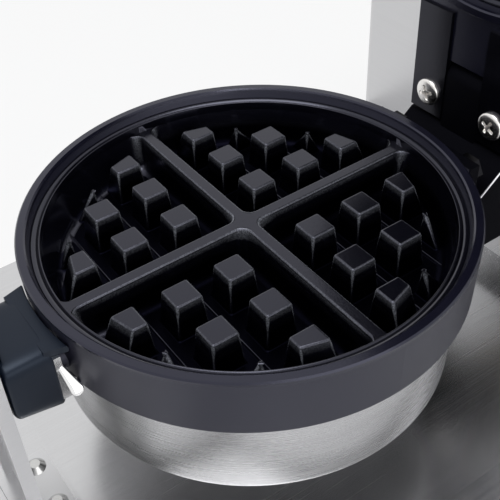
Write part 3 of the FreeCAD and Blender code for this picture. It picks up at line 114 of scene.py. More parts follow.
class WaffleHandleSizes(bpy.types.PropertyGroup):
    """Sizes of the handles, in metres."""
    block_width: bpy.props.FloatProperty(
        name="Block width", description="Width of the block behind the neck", default=0.0412, unit="LENGTH")
    block_length: bpy.props.FloatProperty(
        name="Block length", description="Front to back of the block", default=0.0215, unit="LENGTH")
    block_drop: bpy.props.FloatProperty(
        name="Block drop", description="From the rim down to the top of the block", default=0.0065,
        unit="LENGTH")
    block_height: bpy.props.FloatProperty(
        name="Block height", description="Height of the block at its back", default=0.0332, unit="LENGTH")
    block_rise: bpy.props.FloatProperty(
        name="Block rise", description="How much the block's foot rises towards the front", default=0.0045,
        unit="LENGTH")
    neck_radius: bpy.props.FloatProperty(
        name="Neck radius", description="Radius of the neck that turns in the notch", default=0.0140,
        unit="LENGTH")
    guard_radius: bpy.props.FloatProperty(
        name="Guard radius", description="Radius of the guard in front of the notch", default=0.0190,
        unit="LENGTH")
    grip_radius: bpy.props.FloatProperty(
        name="Grip radius", description="Radius at the middle of the grip", default=0.0180, unit="LENGTH")
    grip_end: bpy.props.FloatProperty(
        name="Grip end", description="Radius at the two ends of the grip", default=0.0150, unit="LENGTH")
    grip_length: bpy.props.FloatProperty(
        name="Grip length", description="Length of the grip with its guard", default=0.1100, unit="LENGTH")


class WaffleKnobSizes(bpy.types.PropertyGroup):
    """Sizes of the control knobs, in metres."""
    skirt_radius: bpy.props.FloatProperty(
        name="Skirt radius", description="Radius of the knob's skirt", default=0.020, unit="LENGTH")
    body_radius: bpy.props.FloatProperty(
        name="Body radius", description="Radius of the fluted body at its foot", default=0.016,
        unit="LENGTH")
    height: bpy.props.FloatProperty(
        name="Height", description="Height of the knob without its rib", default=0.020, unit="LENGTH")


class WaffleFinishes(bpy.types.PropertyGroup):
    """Base colours of the finishes."""
    coat: bpy.props.FloatVectorProperty(
        name="Black coat", description="Satin coat of the collars", subtype="COLOR", size=3,
        default=(0.005, 0.005, 0.011), min=0, max=1)
    gloss: bpy.props.FloatVectorProperty(
        name="Gloss black", description="Glossy coat of the arms and the hinge", subtype="COLOR", size=3,
        default=(0.0018, 0.0018, 0.0030), min=0, max=1)
    nonstick: bpy.props.FloatVectorProperty(
        name="Non-stick", description="Coating of the grid plates", subtype="COLOR", size=3,
        default=(0.0016, 0.0016, 0.0034), min=0, max=1)
    # Painted highlight: the grey laid on the edges of posts and dividers where light catches them
    painted_edge_light: bpy.props.FloatVectorProperty(
        name="Painted edge light", description="Non-stick worn thin on the edges of posts and dividers",
        subtype="COLOR", size=3, default=(0.24, 0.25, 0.28), min=0, max=1)
    steel: bpy.props.FloatVectorProperty(
        name="Steel", description="Brushed stainless sheet", subtype="COLOR", size=3,
        default=(0.62, 0.62, 0.63), min=0, max=1)
    grip: bpy.props.FloatVectorProperty(
        name="Grip", description="Moulded handles", subtype="COLOR", size=3,
        default=(0.0008, 0.0025, 0.0075), min=0, max=1)


class WaffleStudio(bpy.types.PropertyGroup):
    """Light and view of the studio."""
    ambient: bpy.props.FloatProperty(
        name="Ambient", description="Strength of the even light from all round", default=0.45, min=0)
    key_power: bpy.props.FloatProperty(
        name="Key light", description="Power of the large light overhead", default=14.0, subtype="POWER",
        min=0)
    fill_power: bpy.props.FloatProperty(
        name="Fill light", description="Power of the low light on the right", default=5.0, subtype="POWER",
        min=0)
    lens: bpy.props.FloatProperty(
        name="Lens", description="Focal length of the camera", default=62.9, unit="CAMERA")


# Shader maths

class Wire:
    """A node's output that can be used in sums: each operator adds a Math node."""

    def __init__(self, finish, socket):
        self.finish = finish
        self.socket = socket

    def math(self, operation, *values):
        return self.finish.node("ShaderNodeMath", {"operation": operation}, dict(enumerate(values)))

    def __add__(self, other):
        return self.math("ADD", self, other)

    def __radd__(self, other):
        return self.math("ADD", other, self)

    def __sub__(self, other):
        return self.math("SUBTRACT", self, other)

    def __rsub__(self, other):
        return self.math("SUBTRACT", other, self)

    def __mul__(self, other):
        return self.math("MULTIPLY", self, other)

    def __rmul__(self, other):
        return self.math("MULTIPLY", other, self)

    def __pow__(self, other):
        return self.math("POWER", self, other)

    def __rpow__(self, other):
        return self.math("POWER", other, self)


GRAIN_DEPTH = 0.2 * MM


class Finish:
    """A material or world under construction: its tree, and the one method that adds a node to it."""

    def __init__(self, name, kind="materials"):
        self.material = getattr(bpy.data, kind).new(name)
        self.material.use_nodes = True
        self.tree = self.material.node_tree
        self.tree.nodes.clear()
        self.place = self.node("ShaderNodeTexCoord", out="Object")

    def node(self, kind, settings=None, inputs=None, out=0):
        """Add a node: its settings first, then the values or links of its sockets."""
        node = self.tree.nodes.new(kind)
        for key, value in (settings or {}).items():
            setattr(node, key, value)
        for key, value in (inputs or {}).items():
            if isinstance(value, Wire):
                self.tree.links.new(value.socket, node.inputs[key])
            else:
                node.inputs[key].default_value = value
        return Wire(self, node.outputs[out]) if node.outputs else None

    def axes(self, centre):
        """The three coordinates of the surface, counted from a centre."""
        sockets = {0: self.place, 1: tuple(centre)}
        moved = self.node("ShaderNodeVectorMath", {"operation": "SUBTRACT"}, sockets)
        return [self.node("ShaderNodeSeparateXYZ", None, {0: moved}, out) for out in range(3)]

    def noise(self, scale, detail, roughness=0.5, vector=None):
        return self.node("ShaderNodeTexNoise", None, {
            "Vector": vector or self.place, "Scale": scale, "Detail": detail, "Roughness": roughness})

    def stretched(self, scale, detail):
        """Noise drawn out along the axes where the scale is small."""
        vector = self.node("ShaderNodeMapping", None, {"Vector": self.place, "Scale": scale})
        return self.noise(1.0, detail, 0.6, vector)

    def blend(self, factor, first, second):
        return self.node("ShaderNodeMix", {"data_type": "RGBA"}, {0: factor, 6: first, 7: second}, 2)

    def between(self, factor, low, high):
        """A value that runs from low to high as the factor runs from 0 to 1."""
        return self.node("ShaderNodeMapRange", None, {0: factor, 3: low, 4: high})

    def step(self, value, low, high):
        """A mask that rises from 0 to 1 between two values."""
        return self.node("ShaderNodeMapRange", None, {0: value, 1: low, 2: high})

    def bump(self, height, strength, distance=GRAIN_DEPTH):
        sockets = {"Height": height, "Strength": strength, "Distance": distance}
        return self.node("ShaderNodeBump", None, sockets)

    def surface(self, **inputs):
        """Finish the material with one Principled shader."""
        sockets = {key.replace("_", " "): value for key, value in inputs.items()}
        shader = self.node("ShaderNodeBsdfPrincipled", None, sockets)
        self.node("ShaderNodeOutputMaterial", None, {"Surface": shader})
        return self.material


def rgba(colour, scale=1.0):
    return (colour[0] * scale, colour[1] * scale, colour[2] * scale, 1.0)


# Finishes

COOL_GLOSS = (0.78, 0.79, 1.0, 1.0)
RIM_BAND = (1.2 * MM, 2.4 * MM)


def casting_coat(f, colour, roughness, gloss):
    """Black coat over a casting: fine orange peel, slow drift of tone, drier patches."""
    drift = f.noise(22.0, 3.0)
    peel = f.noise(1300.0, 1.0)
    grain = f.noise(4200.0, 0.0)
    tone = f.blend(drift, rgba(colour, 0.8), rgba(colour, 1.25))
    rough = roughness + f.between(drift, -0.05, 0.06) + (grain - 0.5) * 0.05
    height = peel * 0.7 + grain * 0.3
    return f.surface(Base_Color=tone, Roughness=rough, Specular_IOR_Level=gloss, Specular_Tint=COOL_GLOSS,
                     Normal=f.bump(height, 0.10))


def coated_casting(name, colour, roughness, gloss):
    """The coat at one level of gloss."""
    return casting_coat(Finish(name), colour, roughness, gloss)


def collar_coating(name, colour, place):
    """The coat of a collar: satin on its side, and smooth on the rim, found by its depth in the half."""
    f = Finish(name)
    rim, below = place(np.array([[0, 0, 0], [0, 0, -1.0]]))
    x, y, z = f.axes(rim)
    along = below - rim
    depth = x * along[0] + y * along[1] + z * along[2]
    rough = f.between(f.step(depth, *RIM_BAND), 0.16, 0.40)
    return casting_coat(f, colour, rough, 0.6)


def nonstick_coating(name, colour, painted_edge_light):
    """Smooth non-stick coat with faint specks.

    Where the mesh's attribute is above 0 a grey highlight is painted on, and where it is below 0 the coat is
    painted black and dull as shade.
    """
    f = Finish(name)
    wear = f.node("ShaderNodeAttribute", {"attribute_name": "wear"}, out="Fac")
    fleck = f.between(f.step(f.noise(1700.0, 1.0), 0.36, 0.64), 0.45, 1.45)
    # Painted highlight where the attribute is above 0, painted shade (black, dull) where it is below 0
    highlight_mask = f.step(wear, 0.0, 1.0) * f.between(f.noise(420.0, 3.0), 0.6, 1.3) * fleck
    shade_mask = f.step(wear, 0.0, -1.0)
    drift = f.noise(35.0, 3.0)
    specks = f.step(f.noise(2600.0, 0.0), 0.62, 0.72)
    peel = f.noise(900.0, 2.0)
    coat = f.blend(specks * 0.5, f.blend(drift, rgba(colour, 0.85), rgba(colour, 1.15)), rgba(colour, 1.9))
    tone = f.blend(highlight_mask, coat, rgba(painted_edge_light))
    rough = f.between(drift, 0.16, 0.21) + (peel - 0.5) * 0.06 + highlight_mask * 0.2 + shade_mask * 0.2
    return f.surface(Base_Color=tone, Roughness=rough, Metallic=shade_mask, Specular_IOR_Level=0.6,
                     Specular_Tint=COOL_GLOSS, Normal=f.bump(peel, 0.12))


def turned_steel(name, colour, centre, along):
    """Spun stainless: fine rings round an axis, with uneven bands and faint smears."""
    f = Finish(name)
    x, y, z = f.axes(centre)
    first, second, height = (x, y, z) if along == "Z" else (x, z, y)
    angle = f.node("ShaderNodeMath", {"operation": "ARCTAN2"}, {0: second, 1: first})
    radius = (first * first + second * second) ** 0.5
    ring = f.node("ShaderNodeCombineXYZ", None, {0: angle * 1.6, 1: height * 1500.0, 2: radius * 1500.0})
    band = f.node("ShaderNodeCombineXYZ", None, {0: angle * 0.8, 1: height * 90.0, 2: radius * 90.0})
    lines = f.noise(1.0, 3.0, 0.7, ring)
    bands = f.noise(1.0, 2.0, 0.5, band)
    smear = f.noise(14.0, 3.0)
    tone = f.blend(lines * 0.6 + bands * 0.4, rgba(colour, 0.70), rgba(colour, 1.08))
    rough = f.between(lines, 0.20, 0.36) + (smear - 0.5) * 0.10
    return f.surface(Base_Color=tone, Roughness=rough, Metallic=1.0, Normal=f.bump(lines, 0.2))


def brushed_sheet(name, colour, scale, roughness=0.33):
    """Brushed stainless sheet: long scratches along one axis and cloudy patches."""
    f = Finish(name)
    lines = f.stretched(scale, 3.0)
    clouds = f.noise(9.0, 3.0)
    tone = f.blend(lines * 0.7 + clouds * 0.3, rgba(colour, 0.88), rgba(colour, 1.06))
    rough = f.between(lines, roughness - 0.07, roughness + 0.07) + (clouds - 0.5) * 0.10
    return f.surface(Base_Color=tone, Roughness=rough, Metallic=1.0, Normal=f.bump(lines, 0.05))


def polished_metal(name, colour, roughness=0.1):
    """Bright plated metal with faint polishing haze."""
    f = Finish(name)
    haze = f.noise(120.0, 3.0)
    fine = f.noise(1500.0, 1.0)
    tone = f.blend(haze, rgba(colour, 0.94), rgba(colour, 1.0))
    rough = f.between(haze, roughness - 0.03, roughness + 0.06)
    normal = f.bump(fine, 0.02, GRAIN_DEPTH / 2)
    return f.surface(Base_Color=tone, Roughness=rough, Metallic=1.0, Normal=normal)


def moulded_plastic(name, colour, roughness=0.5, grain=0.10, gloss=0.5, tint=(1, 1, 1, 1)):
    """Moulded plastic with a fine spark-eroded grain and slow drift of tone."""
    f = Finish(name)
    drift = f.noise(18.0, 3.0)
    pits = f.noise(2400.0, 1.0)
    tone = f.blend(drift, rgba(colour, 0.88), rgba(colour, 1.15))
    rough = f.between(drift, roughness - 0.04, roughness + 0.05) + (pits - 0.5) * 0.06
    return f.surface(Base_Color=tone, Roughness=rough, Specular_IOR_Level=gloss, Specular_Tint=tint,
                     Normal=f.bump(pits, grain))


def painted_steel(name, colour):
    """Grey paint on hidden frames, a little uneven."""
    f = Finish(name)
    drift = f.noise(30.0, 3.0)
    peel = f.noise(800.0, 1.0)
    tone = f.blend(drift, rgba(colour, 0.9), rgba(colour, 1.1))
    rough = f.between(peel, 0.42, 0.55)
    return f.surface(Base_Color=tone, Roughness=rough, Normal=f.bump(peel, 0.08))


def soft_rubber(name):
    """Black rubber, greyer and rougher where dust clings."""
    f = Finish(name)
    dust = f.noise(160.0, 4.0)
    tone = f.blend(f.step(dust, 0.45, 0.8), (0.012, 0.012, 0.012, 1), (0.05, 0.05, 0.048, 1))
    rough = f.between(dust, 0.7, 0.9)
    return f.surface(Base_Color=tone, Roughness=rough, Normal=f.bump(dust, 0.15))


def lamp_lens(name, colour):
    """Coloured lens with fine prisms inside."""
    f = Finish(name)
    prisms = f.stretched((1800.0, 300.0, 300.0), 0.0)
    tone = f.blend(prisms, rgba(colour, 0.6), rgba(colour, 1.1))
    return f.surface(Base_Color=tone, Roughness=f.between(prisms, 0.08, 0.18), Coat_Weight=0.5)


def heat_tinted(name):
    """Heater sheath, tinted brown and grey by heat."""
    f = Finish(name)
    drift = f.noise(25.0, 3.0)
    tone = f.blend(drift, (0.24, 0.2, 0.17, 1), (0.33, 0.31, 0.3, 1))
    return f.surface(Base_Color=tone, Roughness=f.between(drift, 0.35, 0.55), Metallic=1.0)


# Surfaces

MERGE_GAP = 2e-6
SLIVER = 1e-7


def quads(rows, columns, wrap):
    """Corner numbers of the quads on a grid of points, wrapping round the columns if asked."""
    number = np.arange(rows * columns).reshape(rows, columns)
    if wrap:
        number = np.concatenate([number, number[:, :1]], axis=1)
    corners = [number[:-1, :-1], number[1:, :-1], number[1:, 1:], number[:-1, 1:]]
    return np.stack(corners, axis=-1).reshape(-1, 4)


def quad_areas(sheet, wrap):
    """The corners of each quad, and the cross of its diagonals, which is twice its vector area."""
    corner = sheet[..., :3].reshape(-1, 3)[quads(*sheet.shape[:2], wrap)]
    return corner, np.cross(corner[:, 2] - corner[:, 0], corner[:, 3] - corner[:, 1])


def facing(sheet, wrap, way):
    """Turn a grid of points round if its summed normal points against the given way."""
    area = quad_areas(sheet, wrap)[1].sum(axis=0)
    return sheet if area @ np.asarray(way, float) > 0 else sheet[:, ::-1]


def outward(sheet):
    """Turn a closed grid round if its faces point inwards: the sum of p . (a x b) is six times its volume."""
    corner, area = quad_areas(sheet, True)
    return sheet if (corner.mean(axis=1) * area).sum() > 0 else sheet[:, ::-1]


def grid(x, y, z):
    """A grid of points from three arrays that broadcast together."""
    return np.stack(np.broadcast_arrays(x, y, z), axis=-1)


def ray(angle):
    """Unit vectors in a plane at the given angles."""
    return np.stack([np.cos(angle), np.sin(angle)], axis=-1)


def superellipse(power, steps):
    """Points of |x|^n + |y|^n = 1 as two rows: a cosine and a sine, each to the power 2 / n with its sign."""
    turn = np.linspace(0, 2 * np.pi, steps, endpoint=False)
    return [np.sign(wave) * np.abs(wave) ** (2 / power) for wave in (np.cos(turn), np.sin(turn))]


def closed_ends(rings):
    """Close a tube of rings: a ring drawn together at its middle is added at each end."""
    first, last = [np.broadcast_to(ring.mean(axis=0), ring.shape)[None] for ring in (rings[0], rings[-1])]
    return np.concatenate([first, rings, last])


def rounded(corners, radii, steps):
    """Closed outline with an arc at each corner: tangent points, then the arc turned about its centre."""
    point = np.asarray(corners, float)
    radius = np.broadcast_to(np.asarray(radii, float), (len(point),))
    before = point - np.roll(point, 1, axis=0)
    after = np.roll(point, -1, axis=0) - point
    before /= np.linalg.norm(before, axis=1, keepdims=True)
    after /= np.linalg.norm(after, axis=1, keepdims=True)
    turn = np.arctan2(before[:, 0] * after[:, 1] - before[:, 1] * after[:, 0], (before * after).sum(axis=1))
    reach = radius * np.abs(np.tan(turn / 2))
    side = np.sign(turn)[:, None] * np.stack([-before[:, 1], before[:, 0]], axis=1)
    start = point - before * reach[:, None]
    centre = start + side * radius[:, None]
    angle = turn[:, None] * np.linspace(0, 1, steps)[None, :]
    arm = (start - centre)[:, None, :]
    x = arm[..., 0] * np.cos(angle) - arm[..., 1] * np.sin(angle)
    y = arm[..., 0] * np.sin(angle) + arm[..., 1] * np.cos(angle)
    return (centre[:, None, :] + np.stack([x, y], axis=-1)).reshape(-1, 2)


def revolved(profile, segments):
    """Carry a (radius, height) profile round Z: point = (r cos a, r sin a, z)."""
    angle = np.linspace(0, 2 * np.pi, segments, endpoint=False)
    radius, height = profile[:, 0:1], profile[:, 1:2]
    return grid(radius * np.cos(angle), radius * np.sin(angle), height)


def closed_turning(outline, segments):
    """A ring-shaped solid: the outline is closed on itself and carried round Z."""
    return revolved(np.concatenate([outline, outline[:1]]), segments)


def make_piece(name, sheets, body, material, place=None, sharp=50.0):
    """One mesh object from several grids of points; each sheet is (points, wraps round its columns).

    A point may have a fourth number, the light or shade painted there, which the finish reads: above 0 a
    painted highlight, below 0 painted shade.
    """
    points, faces, count = [], [], 0
    for sheet, wrap in sheets:
        faces.append(quads(*sheet.shape[:2], wrap) + count)
        flat = sheet.reshape(-1, sheet.shape[-1])
        points.append(np.pad(flat, ((0, 0), (0, 4 - flat.shape[1]))))
        count += len(flat)
    cloud, wear = np.split(np.concatenate(points), [3], axis=1)
    if place is not None:
        cloud = place(cloud)
    mesh = bpy.data.meshes.new(name)
    mesh.from_pydata(cloud.tolist(), [], np.concatenate(faces).tolist())
    mesh.attributes.new("wear", "FLOAT", "POINT").data.foreach_set("value", wear.ravel().astype(np.float32))
    work = bmesh.new()
    work.from_mesh(mesh)
    bmesh.ops.remove_doubles(work, verts=work.verts, dist=MERGE_GAP)
    bmesh.ops.dissolve_degenerate(work, edges=work.edges, dist=SLIVER)
    work.to_mesh(mesh)
    work.free()
    mesh.shade_smooth()
    mesh.set_sharp_from_angle(angle=math.radians(sharp))
    piece = bpy.data.objects.new(name, mesh)
    bpy.context.scene.collection.objects.link(piece)
    mesh.materials.append(material)
    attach(piece, body)
    return piece


# Places of the two halves

HALF_GAP = 0.2 * MM


def in_lower(cloud):
    """From a half's own frame, rim at zero, to the lower half's place."""
    return cloud + AXIS - np.array([0, 0, HALF_GAP])


def in_lid(cloud):
    """From a half's own frame to the open lid's place: turned over, then stood up about the pin."""
    reach = PIN - AXIS
    x, y, z = cloud[:, 0], cloud[:, 1], cloud[:, 2]
    return np.stack([-x, PIN[1] + HALF_GAP - z - reach[2], PIN[2] + reach[1] - y], axis=1)


HALVES = (("lower", in_lower, "head"), ("lid", in_lid, "lid"))


# Grid plate

POCKET_STEPS = (14, 8, 34, 8)
POCKET_CORNER = 5.0 * MM
POST_ROWS = 3
CORNER_STEPS = 7
LEAST_CORNER = 0.2 * MM
POST_LEAN = math.tan(math.radians(5))
WALL_SLOPE = math.tan(math.radians(12))
STUB_SLOPE = math.tan(math.radians(20))

# Extra rings close to the round edges keep the flat faces flat
DIVIDER_LOOP, POST_LOOP, FLOOR_LOOP = 0.1 * MM, 0.12 * MM, 0.2 * MM

RIDGE_HEIGHT, RIDGE_HALF, RIDGE_SINK = 1.0 * MM, 1.1 * MM, 0.05 * MM
RIDGE_START, RIDGE_END_GAP = 3.5 * MM, 4.0 * MM

FLANGE_WIDTH, FLANGE_THICK, FLOOR_THICK = 4.1 * MM, 3.0 * MM, 4.0 * MM
FLANGE_ROUND, MOUTH_WIDTH, MOUTH_DROP, MOUTH_STEP = 0.4 * MM, 0.3 * MM, 0.35 * MM, 0.02 * MM
GROOVE_IN, GROOVE_WIDTH, GROOVE_DEPTH = 0.6 * MM, 1.6 * MM, 1.2 * MM
SHELL_TOP_OUT, SHELL_FOOT_IN, POLE = 1.5 * MM, 2.0 * MM, 0.5 * MM

# Painted light runs from 1, a painted highlight, to -1, painted shade that is black and dull
PAINTED_SHADE = -1
DIVIDER_EDGE_HIGHLIGHT, NOOK_HIGHLIGHT, ARRIS_HIGHLIGHT = 0.3, 0.42, 0.75
POST_CORNER_HIGHLIGHT, POST_EDGE_HIGHLIGHT = 0.3, 0.2
NOOK_REACH, NOOK_FADE = 6.0 * MM, 15.0 * MM
FLANK_DROPS = np.array([0.5, 2.5, 5.0, 8.0]) * MM
FLANK_LIGHT = (0.22, 0.10, -0.1, PAINTED_SHADE)


def plate_heights(s):
    """Heights of the tops of posts and dividers, and of the cavity floor."""
    return -(s.rim_drop + s.post_drop), -(s.rim_drop + s.cavity_depth)


def mouth_radius(s):
    """Radius of the cavity at the height of the tops of posts and dividers."""
    return s.cavity_radius - s.post_drop * POST_LEAN


def pocket_outline(gap, radius, corner):
    """Outline of a quarter pocket: two straight sides off the cross, a wall arc and three round corners."""
    line, bend, arc, inner = POCKET_STEPS
    reach = math.sqrt((radius - corner) ** 2 - (gap + corner) ** 2)
    centre = np.array([reach, gap + corner])
    tip = math.atan2(centre[1], centre[0])
    side = np.stack([np.linspace(gap + corner, reach, line), np.full(line, gap)], axis=1)
    turn = centre + corner * ray(np.linspace(-np.pi / 2, tip, bend + 1)[1:])
    wall = radius * ray(np.linspace(tip, np.pi / 2 - tip, arc + 1)[1:])
    nook = gap + corner + corner * ray(np.linspace(np.pi, 1.5 * np.pi, inner + 2)[1:-1])
    return np.concatenate([side, turn, wall, turn[::-1, ::-1][1:], side[::-1, ::-1], nook])


def flank_light(drop):
    """Painted light on a flank so far below its top: a painted highlight at the edge, none 3.75 mm down,
    painted shade from 8 mm.
    """
    return float(np.interp(drop, FLANK_DROPS, FLANK_LIGHT))


def pocket_levels(s):
    """Levels of a quarter pocket, from the middle lines of the cross down.

    Each is (gap, radius, corner, height, painted light). They follow the flat top, the round edge, the
    drafted flank, the fillet and the floor's border.
    """
    top, floor = plate_heights(s)
    depth = top - floor
    mouth = mouth_radius(s)
    edge, fillet = s.edge_round, s.wall_fillet
    half, corner = s.divider_width / 2, POCKET_CORNER
    levels = [(0.0, mouth, MERGE_GAP, top, 0), (half - edge - DIVIDER_LOOP, mouth, corner + edge, top, 0)]
    # The round top edge of the divider gets a painted highlight
    for turn in np.linspace(0, np.pi / 2, 6):
        gap = half - edge * (1 - math.sin(turn))
        drop = edge * (1 - math.cos(turn))
        levels.append((gap, mouth - drop * WALL_SLOPE, corner, top - drop, DIVIDER_EDGE_HIGHLIGHT * math.sin(2 * turn)))
    # Down the flank: painted highlight near the top, painted shade deeper down
    for share in (0.02, 0.12, 0.25, 0.4, 0.6, 1.0):
        drop = edge + (depth - edge - fillet) * share
        gap, radius = half + drop * POST_LEAN, mouth - drop * WALL_SLOPE
        levels.append((gap, radius, corner, top - drop, flank_light(drop)))
    # Painted shade over the foot fillet
    for turn in np.linspace(0, np.pi / 2, 7)[1:]:
        inset = fillet * (1 - math.cos(turn))
        drop = depth - fillet + fillet * math.sin(turn)
        gap, radius = half + drop * POST_LEAN + inset, mouth - drop * WALL_SLOPE - inset
        levels.append((gap, radius, corner, top - drop, PAINTED_SHADE))
    gap, radius, corner, height, wear = levels[-1]
    levels.append((gap + FLOOR_LOOP, radius - FLOOR_LOOP, corner, height, wear))
    return levels


def pocket_sheet(s, by_hinge):
    """A quarter of the cross with its pocket: an outline at each level, then the floor closed to its middle.

    The painted shade reaches the wall only on the hinge's side. Elsewhere the painted light and shade fade
    out near the wall.
    """
    top = plate_heights(s)[0]
    line, bend, arc, inner = POCKET_STEPS
    arris = np.sin(np.linspace(0, np.pi, bend)) ** 3
    tip = np.concatenate([np.zeros(line), arris, np.zeros(arc), arris[:-1], np.zeros(line + inner)])
    rings = []
    for gap, radius, corner, height, wear in pocket_levels(s):
        outline = pocket_outline(gap, radius, corner)
        out = np.hypot(*outline.T)
        inside = 1.0 if by_hinge and wear < 0 else np.clip((radius - out) / NOOK_REACH - 0.5, 0, 1)
        fade = np.clip(1 + (height - top) / NOOK_FADE, 0, 1)
        nook = np.clip(2.0 - out / NOOK_REACH, 0, 1)
        # Painted highlights in the pocket's inner corner and on the round corners by the wall, fading down
        # from the top
        painted_edge_light = wear * inside * (1 - np.maximum(nook * fade, tip)) + NOOK_HIGHLIGHT * (nook + tip) * fade
        rings.append(np.column_stack([outline, np.full(len(outline), height), painted_edge_light]))
    # No painted light on the flat top; painted shade over the floor
    for ring in rings[:3]:
        ring[:, 3] = 0
    rings[-1][:, 3] = PAINTED_SHADE
    middle = rings[-1].mean(axis=0)
    rings.append(middle + (rings[-1] - middle) * 0.5)
    rings.append(np.broadcast_to(middle, rings[-1].shape))
    return np.stack(rings)


def side_corners(sides):
    """Corners where neighbouring sides meet; a side is (normal x, normal y, distance)."""
    first = np.asarray(sides, float)[:, :3]
    second = np.roll(first, -1, axis=0)
    spread = first[:, 0] * second[:, 1] - first[:, 1] * second[:, 0]
    x = (first[:, 2] * second[:, 1] - second[:, 2] * first[:, 1]) / spread
    y = (first[:, 0] * second[:, 2] - second[:, 0] * first[:, 2]) / spread
    return np.stack([x, y], axis=1)


def post_sheet(s, sides, drop, edge):
    """A drafted post: fillet off the floor, straight flanks, round top edge, flat top closed to its middle.

    A side is (normal x, normal y, distance at the top, how far it leans out for each metre down).
    """
    top, floor = plate_heights(s)
    top -= drop
    height, fillet = top - floor, s.foot_fillet
    steps = []
    # Painted shade on the foot fillet
    for turn in np.linspace(0, np.pi / 2, 4):
        steps.append((fillet * (1 - math.sin(turn)), floor + fillet * (1 - math.cos(turn)), 0, PAINTED_SHADE))
    # Up the flank: painted highlights on the upright corners, strongest at the top, and painted light and
    # shade by depth on the sides
    for share in (0.25, 0.5, 0.65, 0.8, 0.9, 1.0):
        z = floor + fillet + (height - edge - fillet) * share
        steps.append((0, z, ARRIS_HIGHLIGHT * share ** 1.7, flank_light(top - z)))
    # Painted highlight along the round top edge, a little brighter at the corners
    for turn in np.linspace(0, np.pi / 2, 6)[1:]:
        line = math.sin(2 * turn)
        grow, z = -edge * (1 - math.cos(turn)), top - edge * (1 - math.sin(turn))
        steps.append((grow, z, POST_CORNER_HIGHLIGHT * line, POST_EDGE_HIGHLIGHT * line))
    steps.append((-edge - POST_LOOP, top, 0, 0))
    arris = np.tile(np.sin(np.linspace(0, np.pi, CORNER_STEPS)), len(sides))
    rings = []
    for grow, z, corner_light, side_light in steps:
        moved = [(nx, ny, far + grow + (top - z) * lean) for nx, ny, far, lean in sides]
        corner = max(s.corner_round + min(grow, 0), LEAST_CORNER)
        outline = rounded(side_corners(moved), corner, CORNER_STEPS)
        wear = side_light + max(corner_light - side_light, 0) * arris * (corner_light > 0)
        rings.append(np.column_stack([outline, np.full(len(outline), z), wear]))
    middle = rings[-1].mean(axis=0)
    rings.append(np.broadcast_to(middle, rings[-1].shape))
    return np.stack(rings)


def quarter_posts(s):
    """Posts of one quarter: whole, cut short by the clip circle, or cut down by it to a corner stub."""
    half = s.post_side / 2
    rows = [s.post_first + k * s.post_pitch for k in range(POST_ROWS)]
    sheets = []
    for i, x in enumerate(rows):
        for j, y in enumerate(rows):
            left, low = (-1, 0, half - x, POST_LEAN), (0, -1, half - y, POST_LEAN)
            right, high = (1, 0, x + half, POST_LEAN), (0, 1, y + half, POST_LEAN)
            out = math.hypot(x, y)
            cut = (x / out, y / out, s.clip_radius, STUB_SLOPE)
            stub = (x / out, y / out, s.clip_radius + s.stub_drop * STUB_SLOPE, STUB_SLOPE)
            if i + j <= 1 or (i, j) == (1, 1):
                sheets.append(post_sheet(s, [left, low, right, high], 0, s.edge_round))
            elif (i, j) == (0, 2):
                sheets.append(post_sheet(s, [left, low, right, cut], 0, s.edge_round))
            elif (i, j) == (2, 0):
                sheets.append(post_sheet(s, [left, low, cut, high], 0, s.edge_round))
            elif i + j == 3:
                sheets.append(post_sheet(s, [left, low, stub], s.stub_drop, s.edge_round / 2))
    return sheets


def ridge_sheet(s, row):
    """A low round ridge along the floor: a raised cosine across, straight along X."""
    floor = plate_heights(s)[1]
    y = s.post_first + (row + 0.5) * s.post_pitch
    reach = math.sqrt((s.cavity_radius - RIDGE_END_GAP) ** 2 - y ** 2)
    along = np.linspace(RIDGE_START, reach, 12)[:, None]
    across = np.linspace(-1, 1, 9)[None, :]
    bulge = RIDGE_HEIGHT * (0.5 + 0.5 * np.cos(np.pi * across)) + floor - RIDGE_SINK
    return grid(along, y + RIDGE_HALF * across, bulge)


def flange_sheet(s):
    """The turned part of the plate: cavity wall, flange with its groove, outer wall and underside."""
    top, floor = plate_heights(s)
    flange = -s.rim_drop
    seat, under = flange - FLANGE_THICK, floor - FLOOR_THICK
    cavity, rim = s.cavity_radius, s.cavity_radius + FLANGE_WIDTH
    groove = cavity + GROOVE_IN
    bend = np.linspace(0, np.pi / 2, 4)
    dip, rise = 1 - np.cos(bend), 1 - np.sin(bend)
    profile = [(mouth_radius(s), top)]
    profile += zip(cavity + MOUTH_WIDTH * dip - MOUTH_STEP, flange - MOUTH_DROP * rise)
    profile += [(groove, flange), (groove + GROOVE_WIDTH / 2, flange - GROOVE_DEPTH)]
    profile += [(groove + GROOVE_WIDTH, flange)]
    profile += zip(rim - FLANGE_ROUND * rise, flange - FLANGE_ROUND * dip)
    profile += [(rim, seat), (cavity + SHELL_TOP_OUT, seat), (cavity - SHELL_FOOT_IN, under)]
    profile += [(POLE, under), (0, under)]
    return revolved(np.array(profile), segments=220)


def mirrored(sheet, across_x, across_y):
    """Mirror a grid of points in X, in Y or in both."""
    sign = np.ones(sheet.shape[-1])
    sign[:2] = -1 if across_x else 1, -1 if across_y else 1
    return sheet * sign


def plate_sheets(s):
    """All the sheets of one grid plate, each facing outwards."""
    quarter = [(post, True) for post in quarter_posts(s)] + [(ridge_sheet(s, row), False) for row in range(2)]
    sheets = [(facing(flange_sheet(s), True, (0, 0, -1)), True)]
    for across_y in (False, True):
        pocket = [(pocket_sheet(s, not across_y), True)]
        for across_x in (False, True):
            sheets += [(facing(mirrored(sheet, across_x, across_y), wrap, (0, 0, 1)), wrap)
                       for sheet, wrap in pocket + quarter]
    return sheets


